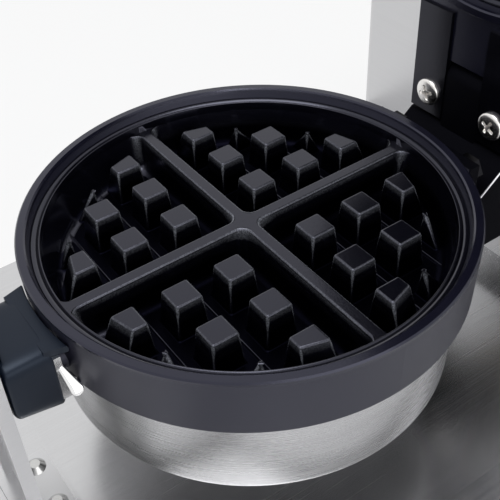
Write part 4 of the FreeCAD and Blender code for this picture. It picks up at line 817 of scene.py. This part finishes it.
class WAFFLE_OT_grid_plates(bpy.types.Operator):
    """Cast the two grid plates with their rounded posts, dividers, stubs and ridges"""
    bl_idname = "waffle.grid_plates"
    bl_label = "Grid plates"

    def execute(self, context):
        sizes = context.scene.waffle_plate
        colours = context.scene.waffle_finish
        coat = nonstick_coating("nonstick_coating", colours.nonstick, colours.painted_edge_light)
        sheets = plate_sheets(sizes)
        for half, place, body in HALVES:
            piece = make_piece(half + "_grid", sheets, body, coat, place, sharp=60.0)
            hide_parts(half + "_plate")
        return {"FINISHED"}


# Bowls

BOWL_MOUTH, BOWL_FOOT, BOWL_WALL = 94.6 * MM, 92.4 * MM, 1.0 * MM
BOWL_TOP, BOWL_LOW = -24.6 * MM, -76.0 * MM
DIMPLE_RADIUS, DIMPLE_ROOF, STUD_HOLE = 15.0 * MM, -62.4 * MM, 4.1 * MM


def bowl_outline():
    """Section of the spun bowl: slightly tapered wall, round foot, flat bottom with the nut's dimple."""
    wall, dimple = BOWL_WALL, DIMPLE_RADIUS
    outside = [(BOWL_MOUTH, BOWL_TOP), (BOWL_FOOT, BOWL_LOW), (dimple, BOWL_LOW), (dimple, DIMPLE_ROOF),
               (STUD_HOLE, DIMPLE_ROOF)]
    inside = [(STUD_HOLE, DIMPLE_ROOF + wall), (dimple + wall, DIMPLE_ROOF + wall),
              (dimple + wall, BOWL_LOW + wall), (BOWL_FOOT - wall, BOWL_LOW + wall),
              (BOWL_MOUTH - wall, BOWL_TOP)]
    radii = np.array([0.2, 4.0, 1.6, 1.2, 0.1, 0.1, 1.2, 1.6, 3.0, 0.2]) * MM
    return rounded(outside + inside, radii, steps=9)


class WAFFLE_OT_bowls(bpy.types.Operator):
    """Spin the two bowls under the collars"""
    bl_idname = "waffle.bowls"
    bl_label = "Bowls"

    def execute(self, context):
        steel = context.scene.waffle_finish.steel
        for half, place, body in HALVES:
            centre = place(np.zeros((1, 3)))[0]
            metal = turned_steel(half + "_spun_steel", steel, centre, "Z" if half == "lower" else "Y")
            sheets = [(closed_turning(bowl_outline(), segments=256), True)]
            piece = make_piece(half + "_spun_bowl", sheets, body, metal, place, sharp=60.0)
            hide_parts(half + "_bowl")
        return {"FINISHED"}


# Handles and the tabs of their brackets

BLOCK_SOFT, BLOCK_NARROWING, BLOCK_TOWARDS_COLLAR = 2.4 * MM, 0.03, 1.6 * MM
LIP_FLARE, LIP_INSET, LIP_ROOT = 0.6 * MM, 1.8 * MM, 4.0 * MM
LIP_THICK, LIP_SINK, LIP_GAP = 3.1 * MM, 0.1 * MM, 0.15 * MM
NECK_ROOT, NECK_STEP = 3.0 * MM, 0.1 * MM
GUARD_THICK, GUARD_ROUND, GUARD_STEP = 4.0 * MM, 1.2 * MM, 0.6 * MM
GRIP_NOSE, GRIP_CORNER, GRIP_SINK = 6.0 * MM, 1.6 * MM, 0.15 * MM

# The tab's place in the half's own frame: where it leaves the bracket, where it ends, and the way it faces
TAB_ROOT, TAB_TIP = np.array([20.0, -103.0, -15.0]) * MM, np.array([29.7, -100.1, -25.4]) * MM
TAB_FACE = np.array([0.70, -0.25, 0.67])
TAB_ROOT_HALF, TAB_SPREAD, TAB_HALF_THICK, TAB_ROUND = 1.1 * MM, 1.9 * MM, 0.9 * MM, 0.2


def block_sheet(s, front, back):
    """Soft-edged block: each section is a superellipse of power 7, and the two ends are drawn in round."""
    wide, tall = superellipse(power=7, steps=96)
    bend = np.linspace(np.pi / 2, 0, 7)
    ends = [front + BLOCK_SOFT * (1 - np.sin(bend)), back - BLOCK_SOFT * (1 - np.sin(bend[::-1]))]
    y = np.concatenate(ends)[:, None]
    inset = BLOCK_SOFT * (1 - np.cos(np.concatenate([bend, bend[::-1]])))[:, None]
    rise = s.block_rise * (back - y) / (back - front)
    half = (s.block_height - rise) / 2
    middle = -s.block_drop - half
    x = (s.block_width / 2 - inset) * wide * (1 - BLOCK_NARROWING * tall)
    return closed_ends(grid(x, y, middle + (half - inset) * tall))


def lip_sheet(s, back, pan):
    """Thin lip from the block to the collar: sections side by side, each ending on the collar's circle."""
    across = np.concatenate([[-1], np.linspace(-1, 1, 25), [1]])[:, None]
    end = across * (s.block_width / 2 + LIP_FLARE)
    root = across * (s.block_width / 2 - LIP_INSET)
    reach = -np.sqrt(pan ** 2 - end ** 2)
    along = np.array([0, 0.94, 0.985, 1.0, 0.985, 0.94, 0])
    level = np.tile([0, 0, 0.2, 0.5, 0.8, 1, 1], (len(across), 1))
    level[[0, -1]] = 0.5
    start = back - LIP_ROOT
    x = root + (end - root) * along
    y = start + (reach - start) * along
    return grid(x, y, -s.block_drop - LIP_SINK - LIP_THICK * level)


def grip_sheet(s, root, tip):
    """Half-round neck, guard and swelling grip: stations along Y carry a half disc with two round corners."""
    start = tip + s.grip_length
    guard = start - GUARD_THICK
    heel = guard - GUARD_STEP
    swell = np.linspace(0, 1, 25)[1:-1]
    bulge = s.grip_end + (s.grip_radius - s.grip_end) * np.sin(np.pi * swell)
    bend = np.linspace(0, np.pi / 2, 8)
    edge = np.linspace(0, np.pi / 2, 5)
    early, late = GUARD_ROUND * (1 - np.cos(edge)), GUARD_ROUND * (1 - np.sin(edge))
    station = [(root, s.neck_radius), (start + NECK_STEP, s.neck_radius)]
    station += zip(start - early, s.guard_radius - late)
    station += zip(guard + late, s.guard_radius - early)
    station += [(heel, s.grip_end)]
    station += zip(heel + (tip + GRIP_NOSE - guard) * swell, bulge)
    station += zip(tip + GRIP_NOSE * (1 - np.sin(bend)), s.grip_end - GRIP_NOSE * (1 - np.cos(bend)))
    y, radius = np.array(station).T[:, :, None]
    corner = np.minimum(GRIP_CORNER, radius * 0.2)
    reach = np.sqrt((radius - corner) ** 2 - corner ** 2)
    tilt = np.arctan2(corner, reach)
    belly = -tilt - (np.pi - 2 * tilt) * np.linspace(0, 1, 41)[None, :]
    turn = np.linspace(np.pi / 2, 0, 6)[None, :-1]
    first = turn * (1 + 2 * tilt / np.pi) - tilt
    right = np.stack([reach + corner * np.cos(first), -corner + corner * np.sin(first)])
    left = np.stack([-right[0], right[1]])[:, :, ::-1]
    bottom = np.stack([radius * np.cos(belly), radius * np.sin(belly)])
    x, z = np.concatenate([right, bottom, left], axis=2)
    return closed_ends(grid(x, y, z - GRIP_SINK))


def tab_sheet():
    """Bright tab bent out of the bracket: a flat oval section that widens along a slope and ends round."""
    run = TAB_TIP - TAB_ROOT
    way = run / np.linalg.norm(run)
    face = TAB_FACE - way * (TAB_FACE @ way)
    face /= np.linalg.norm(face)
    side = np.cross(face, way)
    straight = 1 - TAB_ROUND
    bend = np.linspace(0, np.pi / 2, 9)[1:]
    share = np.concatenate([np.linspace(0, straight, 9), straight + TAB_ROUND * np.sin(bend)])[:, None]
    tip_round = np.sqrt(np.clip(1 - ((share - straight) / TAB_ROUND).clip(0) ** 2, 0, 1))
    turn = np.linspace(0, 2 * np.pi, 40, endpoint=False)[None, :]
    width = (TAB_ROOT_HALF + TAB_SPREAD * share) * tip_round
    thick = TAB_HALF_THICK * tip_round
    flat = np.sign(np.sin(turn)) * np.abs(np.sin(turn)) ** 0.6
    spine = TAB_ROOT + share[:, :, None] * run
    rings = spine + (width * np.cos(turn))[..., None] * side + (thick * flat)[..., None] * face
    return np.concatenate([np.broadcast_to(TAB_ROOT, rings[:1].shape), rings])


class WAFFLE_OT_handles(bpy.types.Operator):
    """Mould the two handles and bend the bright tabs of their brackets"""
    bl_idname = "waffle.handles"
    bl_label = "Handles"

    def execute(self, context):
        sizes = context.scene.waffle_handle
        colours = context.scene.waffle_finish
        moulding = moulded_plastic("handle_moulding", colours.grip, roughness=0.36, gloss=0.34,
                                   tint=(0.68, 0.80, 1, 1))
        chrome = polished_metal("tab_chrome", (0.86, 0.86, 0.86), roughness=0.07)
        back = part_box("lower_bracket")[0].y - AXIS[1] + BLOCK_TOWARDS_COLLAR
        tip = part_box("lower_handle")[0].y - AXIS[1]
        front = back - sizes.block_length
        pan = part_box("lower_collar")[1].x + LIP_GAP
        forms = [block_sheet(sizes, front, back), lip_sheet(sizes, back, pan),
                 grip_sheet(sizes, front + NECK_ROOT, tip)]
        sheets = [(outward(form), True) for form in forms]
        tab = tab_sheet()
        tabs = [(outward(tab), True), (outward(mirrored(tab, True, False)), True)]
        for half, place, body in HALVES:
            piece = make_piece(half + "_handle_moulding", sheets, body, moulding, place, sharp=45.0)
            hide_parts(half + "_handle")
            make_piece(half + "_bracket_tabs", tabs, body, chrome, place, sharp=45.0)
        return {"FINISHED"}


# Controls

KNOB_GAP, KNOB_TAPER, KNOB_ROUND, SKIRT_THICK = 0.5 * MM, 1.6 * MM, 1.0 * MM, 2.0 * MM
FLUTES, FLUTE_DEPTH = 20, 0.045
RIB_HALF, RIB_FOOT, RIB_RISE, RIB_ROUND = 2.5 * MM, 3.0 * MM, 2.8 * MM, 0.9 * MM
POINTER_IN, POINTER_LENGTH, POINTER_WIDTH = 6.0 * MM, 9.0 * MM, 1.2 * MM
POINTER_SINK, POINTER_RISE = 0.02 * MM, 0.15 * MM
TICKS, LONG_TICK_EVERY = 13, 3
LONG_TICK, SHORT_TICK, TICK_WIDTH = 4.5 * MM, 2.6 * MM, 0.9 * MM
TICK_GAP, TICK_RISE = 2.0 * MM, 0.12 * MM

# The rocker at rest: its tilt, and its V face from the pivot, where the two marks stand
ROCKER_TILT, ROCKER_SLOPE = math.radians(8.0), 0.1
ROCKER_FACE, MARK_OFFSET = 4.52 * MM, 5.0 * MM
BAR_WIDTH, BAR_LENGTH, BAR_RISE = 0.8 * MM, 5.0 * MM, 0.15 * MM
RING_RADIUS, RING_THICK = 2.2 * MM, 0.4 * MM


def knob_sheet(s):
    """Fluted knob standing on +Z: r = profile(z) * (1 - depth * wave(flutes * a)), waved only up the body."""
    bend = np.linspace(0, np.pi / 2, 6)
    draw, dip = KNOB_ROUND * (1 - np.cos(bend)), KNOB_ROUND * (1 - np.sin(bend))
    skirt, body, top = s.skirt_radius, s.body_radius, s.body_radius - KNOB_TAPER
    station = [(0, 0, 0), (skirt, 0, 0), (skirt, SKIRT_THICK, 0)]
    station += zip(skirt - draw, SKIRT_THICK + KNOB_ROUND * np.sin(bend), 0 * bend)
    station += [(body + 0.3 * MM, 3.0 * MM, 0), (body, 3.4 * MM, 0.3), (body - 0.2 * MM, 5.0 * MM, 1)]
    station += [(top + 0.2 * MM, s.height - 3.0 * MM, 1)]
    station += zip(top - draw, s.height - dip, 1 - bend / 1.6)
    station += [(top * 0.6, s.height, 0), (0, s.height, 0)]
    radius, height, flute = np.array(station).T[:, :, None]
    angle = np.linspace(0, 2 * np.pi, 240, endpoint=False)[None, :]
    radius = radius * (1 - FLUTE_DEPTH * flute * (0.5 + 0.5 * np.cos(FLUTES * angle)) ** 2)
    return grid(radius * np.cos(angle), radius * np.sin(angle), height)


def bar_sheet(low, high, soft):
    """Soft-edged bar along Y between two corners: a superellipse of power 8 carried up Z and closed."""
    low, high = np.asarray(low), np.asarray(high)
    middle, half = (low + high) / 2, (high - low) / 2
    wide, tall = superellipse(power=8, steps=64)
    bend = np.linspace(0, np.pi / 2, 5)
    inset = np.concatenate([[half[0], 0], soft * (1 - np.cos(bend)), [half[0]]])[:, None]
    z = np.concatenate([[low[2], low[2]], high[2] - soft * (1 - np.sin(bend)), [high[2]]])[:, None]
    x = middle[0] + (half[0] - inset) * wide
    y = middle[1] + (half[1] - np.minimum(inset, half[0])) * tall
    return grid(x, y, z)


def strip_sheet(centre, along, across, length, width, rise):
    """A thin raised strip: base ring, top ring and the two middles, in the plane of along and across."""
    along, across = np.asarray(along, float), np.asarray(across, float)
    out = np.cross(along, across)
    square = np.array([(-1, -1), (1, -1), (1, 1), (-1, 1)]) / 2
    ring = square[:, :1] * along * length + square[:, 1:] * across * width
    rings = np.stack([0 * ring, ring, ring + out * rise, 0 * ring + out * rise])
    return rings + np.asarray(centre)


def ring_sheet(centre, along, across, radius, thick):
    """A raised ring in the plane of along and across: p = (R + t cos v)(cos u, sin u), lifted by t sin v."""
    along, across = np.asarray(along, float), np.asarray(across, float)
    out = np.cross(along, across)
    u = np.linspace(0, 2 * np.pi, 40, endpoint=False)[None, :, None]
    v = np.linspace(0, 2 * np.pi, 9)[:, None, None]
    far = radius + thick * np.cos(v)
    return centre + far * (np.cos(u) * along + np.sin(u) * across) + 0.5 * thick * np.sin(v) * out


def side_place(side, centre):
    """Puts a control that stands on +Z against a side of the tower, its Y turned upright."""
    def place(cloud):
        x, y, z = cloud[:, 0], cloud[:, 1], cloud[:, 2]
        return np.stack([centre[0] + side * z, centre[1] + side * x, centre[2] + y], axis=1)
    return place


def dial_sheets(s, sweep):
    """Ticks round a knob, clockwise from the top over the joint's sweep, every third one long."""
    sheets = []
    for number, angle in enumerate(np.radians(np.linspace(0, sweep, TICKS))):
        way = np.array([math.sin(angle), math.cos(angle), 0])
        length = SHORT_TICK if number % LONG_TICK_EVERY else LONG_TICK
        centre = way * (s.skirt_radius + TICK_GAP + length / 2)
        tick = strip_sheet(centre, way, (-way[1], way[0], 0), length, TICK_WIDTH, TICK_RISE)
        sheets.append((outward(tick), True))
    return sheets


def rocker_sheets(pivot):
    """A bar on the upper half of the rocker's V face and a ring on the lower half, tilted with it about Y."""
    cos, sin = math.cos(ROCKER_TILT), math.sin(ROCKER_TILT)
    turn = np.array([[cos, 0, sin], [0, 1, 0], [-sin, 0, cos]])
    across = np.array([0, 1.0, 0])
    places = []
    for end in (1, -1):
        centre = pivot + turn @ np.array([ROCKER_FACE, 0, end * MARK_OFFSET])
        places.append((centre, turn @ np.array([ROCKER_SLOPE * end, 0, 1]) / math.hypot(ROCKER_SLOPE, 1)))
    (upper, up), (lower, down) = places
    bar = strip_sheet(upper, across, up, BAR_WIDTH, BAR_LENGTH, BAR_RISE)
    ring = ring_sheet(lower, across, down, RING_RADIUS, RING_THICK)
    return [(outward(bar), True), (outward(ring), True)]


class WAFFLE_OT_controls(bpy.types.Operator):
    """Mould the two knobs and print their dials, pointers and the rocker's marks"""
    bl_idname = "waffle.controls"
    bl_label = "Controls"

    def execute(self, context):
        sizes = context.scene.waffle_knob
        black = moulded_plastic("knob_moulding", (0.012, 0.012, 0.013), roughness=0.32, grain=0.05)
        print_black = moulded_plastic("dial_print", (0.02, 0.02, 0.022), roughness=0.55, grain=0.02)
        print_white = moulded_plastic("pointer_print", (0.72, 0.72, 0.70), roughness=0.5, grain=0.02)
        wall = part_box("tower_shell")[1].x
        rib, top = sizes.body_radius - KNOB_TAPER, sizes.height + RIB_RISE
        lift = np.array([0, 0, KNOB_GAP])
        forms = [knob_sheet(sizes), bar_sheet((-RIB_HALF, -rib, RIB_FOOT), (RIB_HALF, rib, top), RIB_ROUND)]
        knob = [(outward(form + lift), True) for form in forms]
        tip = (0, rib - POINTER_IN, top + KNOB_GAP - POINTER_SINK)
        mark = strip_sheet(tip, (0, 1, 0), (-1, 0, 0), POINTER_LENGTH, POINTER_WIDTH, POINTER_RISE)
        pointer = [(outward(mark), True)]
        for body, joint, side in (("thermostat", "thermostat_turn", 1), ("timer", "timer_turn", -1)):
            middle = JOINTS[joint]["pos_m"]
            place = side_place(side, (side * wall, middle[1], middle[2]))
            piece = make_piece(body + "_knob_moulding", knob, body, black, place, sharp=40.0)
            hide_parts(body + "_knob")
            make_piece(body + "_pointer", pointer, body, print_white, place)
            ticks = dial_sheets(sizes, JOINTS[joint]["range_deg"][1])
            make_piece(body + "_dial", ticks, "base", print_black, place)
        marks = rocker_sheets(np.array(JOINTS["power_tip"]["pos_m"]))
        make_piece("rocker_marks", marks, "rocker", print_white)
        return {"FINISHED"}


# Arm screws

HEAD_RADIUS, HEAD_HEIGHT = 7.0 * MM, 2.8 * MM
HEAD_SPINS = ((-1, 0.35), (1, 1.1))

# The cross recess, in shares of the head's radius and height
RECESS_HALF, RECESS_HALF_SOFT = 0.115, 0.05
RECESS_REACH, RECESS_REACH_SOFT = 0.56, 0.07
RECESS_DEPTH = 0.85


def cross_head(radius, height):
    """Pan head with a cross recess: z = dome(r) - depth * cross(x, y), on a grid of rings and angles."""
    ring = np.concatenate([np.linspace(0, 0.62, 20), np.linspace(0.66, 1, 12)])[:, None]
    angle = np.linspace(0, 2 * np.pi, 96, endpoint=False)[None, :]
    x, y = ring * np.cos(angle), ring * np.sin(angle)
    dome = height * (0.45 + 0.55 * np.sqrt(np.clip(1 - ring ** 2.6, 0, 1)))
    slot = np.clip((RECESS_HALF - np.minimum(np.abs(x), np.abs(y))) / RECESS_HALF_SOFT, 0, 1)
    reach = np.maximum(np.abs(x), np.abs(y))
    cross = slot * np.clip((RECESS_REACH - reach) / RECESS_REACH_SOFT, 0, 1)
    depth = height * RECESS_DEPTH * cross * np.clip(1.15 - reach * 1.2, 0, 1)
    top = grid(x * radius, y * radius, dome - depth)
    skirt = top[-1:] * np.array([1, 1, 0])
    return np.concatenate([top, skirt])


class WAFFLE_OT_arm_screws(bpy.types.Operator):
    """Turn the cross-head screws in the lid's arms"""
    bl_idname = "waffle.arm_screws"
    bl_label = "Arm screws"

    def execute(self, context):
        bright = polished_metal("screw_plating", (0.84, 0.82, 0.80), roughness=0.24)
        low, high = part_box("arm_screws")
        height = low.z + (high.z - low.z) / 2
        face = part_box("lid_arm_left")[0].y
        head = cross_head(HEAD_RADIUS, HEAD_HEIGHT)
        sheets = []
        for side, spin in HEAD_SPINS:
            x = side * (high.x - HEAD_RADIUS)
            cos, sin = math.cos(spin), math.sin(spin)
            local = head @ np.array([[cos, -sin, 0], [sin, cos, 0], [0, 0, 1]]).T
            placed = grid(x + local[..., 0], face - local[..., 2], height + local[..., 1])
            sheets.append((facing(placed, True, (0, -1, 0)), True))
        piece = make_piece("arm_screw_heads", sheets, "lid", bright, sharp=40.0)
        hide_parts("arm_screws")
        return {"FINISHED"}


# Yoke

# The two ends of the painted highlight along the yoke's sloping edge, as (y, z) in the half's own frame
EDGE_LOW, EDGE_HIGH, EDGE_RADIUS = (110.0 * MM, -34.6 * MM), (131.0 * MM, -17.8 * MM), 0.45 * MM


def rod_sheet(start, end, radius):
    """A thin rod with round ends: rings along a straight line, their radius a quarter sine at each end."""
    start, end = np.asarray(start), np.asarray(end)
    length = np.linalg.norm(end - start)
    way = (end - start) / length
    side = np.cross(way, (1.0, 0, 0))
    turn = np.linspace(0, 2 * np.pi, 12, endpoint=False)[None, :, None]
    bend = np.linspace(0, np.pi / 2, 5)
    girth = radius * np.concatenate([np.sin(bend), np.cos(bend)])[:, None, None]
    run = np.concatenate([-radius * np.cos(bend), length + radius * np.sin(bend)])[:, None, None]
    return start + run * way + girth * (np.cos(turn) * side + np.sin(turn) * np.cross(way, side))


class WAFFLE_OT_yoke_edge(bpy.types.Operator):
    """Lay a thin bright rod along the sloping edge of the hinge yoke as a painted highlight"""
    bl_idname = "waffle.yoke_edge"
    bl_label = "Yoke edge"

    def execute(self, context):
        # A thin bright metal rod stands in for a highlight along the edge
        metal = polished_metal("bare_edge", (0.62, 0.62, 0.65), roughness=0.3)
        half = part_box("hinge_yoke")[1].x
        edge = rod_sheet((half, *EDGE_LOW), (half, *EDGE_HIGH), EDGE_RADIUS)
        make_piece("yoke_bare_edge", [(outward(edge), True)], "head", metal, in_lower, sharp=60.0)
        return {"FINISHED"}


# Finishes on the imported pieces

class WAFFLE_OT_finishes(bpy.types.Operator):
    """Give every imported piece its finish"""
    bl_idname = "waffle.finishes"
    bl_label = "Finishes"

    def execute(self, context):
        colours = context.scene.waffle_finish
        gloss = coated_casting("arm_coat", colours.gloss, roughness=0.18, gloss=0.4)
        dull = coated_casting("yoke_coat", colours.gloss, roughness=0.5, gloss=0.03)
        steel_up = brushed_sheet("tower_steel", colours.steel, (6.0, 6.0, 1400.0))
        steel_flat = brushed_sheet("deck_steel", colours.steel, (1400.0, 6.0, 1400.0), roughness=0.24)
        plated = polished_metal("fastener_plating", (0.6, 0.6, 0.59), roughness=0.22)
        chrome = polished_metal("bracket_chrome", (0.82, 0.82, 0.82), roughness=0.09)
        grip = moulded_plastic("handle_core", colours.grip, roughness=0.36)
        black = moulded_plastic("control_moulding", (0.02, 0.02, 0.022), roughness=0.3, grain=0.04)
        frame_paint = painted_steel("frame_paint", (0.3, 0.31, 0.32))
        brass = polished_metal("bush_brass", (0.72, 0.52, 0.25), roughness=0.25)
        tinted = heat_tinted("heater_sheath")
        finishes = {
            collar_coating("lower_collar_coat", colours.coat, in_lower): ["lower_collar"],
            collar_coating("lid_collar_coat", colours.coat, in_lid): ["lid_collar"],
            gloss: ["lid_arm_left", "lid_arm_right"],
            dull: ["hinge_yoke", "stop_bar"],
            nonstick_coating("plate_back", colours.nonstick, colours.painted_edge_light): ["lower_plate", "lid_plate"],
            polished_metal("black_oxide", (0.02, 0.02, 0.023), roughness=0.3): ["yoke_bolts"],
            steel_up: ["tower_shell", "rear_cover", "front_support"],
            steel_flat: ["base_pan", "drip_tray", "lower_bowl", "lid_bowl"],
            chrome: ["lower_bracket", "lid_bracket", "arm_screws", "lower_nut", "lid_nut"],
            plated: ["foot_screws", "support_screws", "rear_cover_screws", "housing_bolts", "shaft",
                     "shaft_pin", "shaft_collar", "hinge_pin", "pin_clip", "arm_bolts", "lower_stud",
                     "lid_stud", "lower_handle_screws", "lid_handle_screws", "lower_shield", "lid_shield",
                     "lower_sensor"],
            grip: ["lower_handle", "lid_handle"],
            black: ["thermostat_knob", "timer_knob", "thermostat_body", "timer_body", "switch_body",
                    "terminal_block", "cable_gland", "lid_cutout"],
            frame_paint: ["bottom_plate", "tray_runners", "pillar", "bearing_housing"],
            brass: ["bearing_bushes", "hinge_bushes"],
            tinted: ["lower_heater", "lid_heater"],
            soft_rubber("foot_rubber"): ["feet"],
            lamp_lens("red_lens", (0.55, 0.03, 0.03)): ["power_lamp", "power_rocker"],
            lamp_lens("green_lens", (0.05, 0.4, 0.1)): ["ready_lamp"],
        }
        for material, names in finishes.items():
            for name in names:
                slots = frame["nodes"][name].data.materials
                slots.clear()
                slots.append(material)
        return {"FINISHED"}


# Studio

FLOOR_HALF = 4.0
FLOOR_GLOW = 0.8
LIGHT_AIM = np.array([0, 0.03, 0])
KEY_PLACE, KEY_SIZE = np.array([0.1, -0.2, 1.5]), (1.0, 1.0)
FILL_PLACE, FILL_SIZE = np.array([1.3, -0.1, 0.5]), (1.4, 0.9)

# The camera that was fitted to the photo: its place from the lower half's rim, its angles and its shift
CAMERA_PLACE = np.array([247.34, -163.78, 235.63]) * MM
CAMERA_TURN, CAMERA_RISE, CAMERA_ROLL = np.radians((60.419, 41.118, -5.617))
CAMERA_SHIFT = (0.0958, -0.003)
SENSOR_WIDTH = 36.0
CLIP_START = 0.01


def area_light(name, place, target, size, power):
    """Add a rectangular lamp that looks at a target."""
    lamp = bpy.data.lights.new(name, "AREA")
    lamp.shape = "RECTANGLE"
    lamp.size, lamp.size_y = size
    lamp.energy = power
    light = bpy.data.objects.new(name, lamp)
    bpy.context.scene.collection.objects.link(light)
    aim(light, place, target)


def aim(thing, place, target):
    """Stand a lamp at a place, looking at a target."""
    back = np.asarray(place, float) - np.asarray(target, float)
    back /= np.linalg.norm(back)
    right = np.cross((0, 0, 1), back)
    right /= np.linalg.norm(right)
    up = np.cross(back, right)
    pose(thing, place, right, up, back)


def pose(thing, place, right, up, back):
    """Stand a thing at a place with its three axes along the given ways."""
    rows = np.eye(4)
    rows[:3, 0], rows[:3, 1], rows[:3, 2], rows[:3, 3] = right, up, back, place
    thing.matrix_world = Matrix(rows.tolist())


def looked_at(f):
    """1 for rays that look straight, in a gloss or through glass, and 0 for those that gather light."""
    rays = [f.node("ShaderNodeLightPath", out=name)
            for name in ("Is Camera Ray", "Is Glossy Ray", "Is Transmission Ray")]
    settings = {"operation": "ADD", "use_clamp": True}
    return f.node("ShaderNodeMath", settings, {0: rays[0] + rays[1], 1: rays[2]})


def studio_floor():
    """A pale square of paper that keeps shadows but is white to look at."""
    f = Finish("studio_floor")
    tone = f.blend(f.noise(3.0, 2.0), (0.86, 0.86, 0.87, 1), (0.9, 0.9, 0.9, 1))
    paper = f.node("ShaderNodeBsdfDiffuse", None, {"Color": tone})
    white = f.node("ShaderNodeEmission", None, {"Color": (1, 1, 1, 1), "Strength": 1.0})
    mixed = f.node("ShaderNodeMixShader", None, {0: looked_at(f) * FLOOR_GLOW, 1: paper, 2: white})
    f.node("ShaderNodeOutputMaterial", None, {"Surface": mixed})
    edge = np.array([-FLOOR_HALF, FLOOR_HALF])
    sheet = facing(grid(edge[:, None], edge[None, :], 0.0), False, (0, 0, 1))
    mesh = bpy.data.meshes.new("studio_floor")
    mesh.from_pydata(sheet.reshape(-1, 3).tolist(), [], quads(2, 2, False).tolist())
    mesh.materials.append(f.material)
    floor = bpy.data.objects.new("studio_floor", mesh)
    bpy.context.scene.collection.objects.link(floor)


def studio_world(strength):
    """An even light from all round, with white behind the object and in its gloss."""
    w = Finish("studio_world", "worlds")
    ambient = w.node("ShaderNodeBackground", None, {"Color": (0.95, 0.97, 1, 1), "Strength": strength})
    sky = w.node("ShaderNodeBackground", None, {"Color": (1, 1, 1, 1), "Strength": 1.0})
    both = w.node("ShaderNodeMixShader", None, {0: looked_at(w), 1: ambient, 2: sky})
    w.node("ShaderNodeOutputWorld", None, {"Surface": both})
    return w.material


def photo_camera(lens):
    """The camera at the photo's place: its axes from azimuth, elevation and roll."""
    camera = bpy.data.cameras.new("photo_camera")
    camera.lens = lens
    camera.sensor_width = SENSOR_WIDTH
    camera.sensor_fit = "HORIZONTAL"
    camera.shift_x, camera.shift_y = CAMERA_SHIFT
    camera.clip_start = CLIP_START
    view = bpy.data.objects.new("photo_camera", camera)
    bpy.context.scene.collection.objects.link(view)
    flat = np.array([math.cos(CAMERA_TURN), math.sin(CAMERA_TURN), 0])
    ahead = np.array([-math.sin(CAMERA_TURN), math.cos(CAMERA_TURN), 0])
    back = np.array([0, 0, math.sin(CAMERA_RISE)]) - ahead * math.cos(CAMERA_RISE)
    lift = np.cross(back, flat)
    right = math.cos(CAMERA_ROLL) * flat + math.sin(CAMERA_ROLL) * lift
    up = math.cos(CAMERA_ROLL) * lift - math.sin(CAMERA_ROLL) * flat
    pose(view, in_lower(CAMERA_PLACE), right, up, back)
    return view


class WAFFLE_OT_studio(bpy.types.Operator):
    """Set up the floor, the lights, the world and the camera"""
    bl_idname = "waffle.studio"
    bl_label = "Studio"

    def execute(self, context):
        scene = context.scene
        studio = scene.waffle_studio
        scene.view_settings.view_transform = "Standard"
        studio_floor()
        scene.world = studio_world(studio.ambient)
        target = AXIS + LIGHT_AIM
        area_light("key_light", target + KEY_PLACE, target, KEY_SIZE, studio.key_power)
        area_light("fill_light", target + FILL_PLACE, target, FILL_SIZE, studio.fill_power)
        scene.camera = photo_camera(studio.lens)
        return {"FINISHED"}


class WAFFLE_PT_panel(bpy.types.Panel):
    """Lists the steps that dress the waffle maker"""
    bl_idname = "WAFFLE_PT_panel"
    bl_label = "Waffle maker"
    bl_space_type = "VIEW_3D"
    bl_region_type = "UI"
    bl_category = "Waffle maker"

    def draw(self, context):
        for step in STEPS:
            self.layout.operator(step.bl_idname)
        for name, group in GROUPS.items():
            for key in group.__annotations__:
                self.layout.prop(getattr(context.scene, name), key)


GROUPS = {"waffle_plate": WafflePlateSizes, "waffle_handle": WaffleHandleSizes,
          "waffle_knob": WaffleKnobSizes, "waffle_finish": WaffleFinishes, "waffle_studio": WaffleStudio}
STEPS = (WAFFLE_OT_finishes, WAFFLE_OT_grid_plates, WAFFLE_OT_bowls, WAFFLE_OT_handles, WAFFLE_OT_controls,
         WAFFLE_OT_arm_screws, WAFFLE_OT_yoke_edge, WAFFLE_OT_studio)


def register():
    for name, group in GROUPS.items():
        bpy.utils.register_class(group)
        setattr(bpy.types.Scene, name, bpy.props.PointerProperty(type=group))
    for step in STEPS + (WAFFLE_PT_panel,):
        bpy.utils.register_class(step)


def unregister():
    for step in reversed(STEPS + (WAFFLE_PT_panel,)):
        bpy.utils.unregister_class(step)
    for name, group in GROUPS.items():
        delattr(bpy.types.Scene, name)
        bpy.utils.unregister_class(group)


def main():
    register()
    bpy.ops.waffle.finishes()
    bpy.ops.waffle.grid_plates()
    bpy.ops.waffle.bowls()
    bpy.ops.waffle.handles()
    bpy.ops.waffle.controls()
    bpy.ops.waffle.arm_screws()
    bpy.ops.waffle.yoke_edge()
    bpy.ops.waffle.studio()


if __name__ == "__main__":
    main()
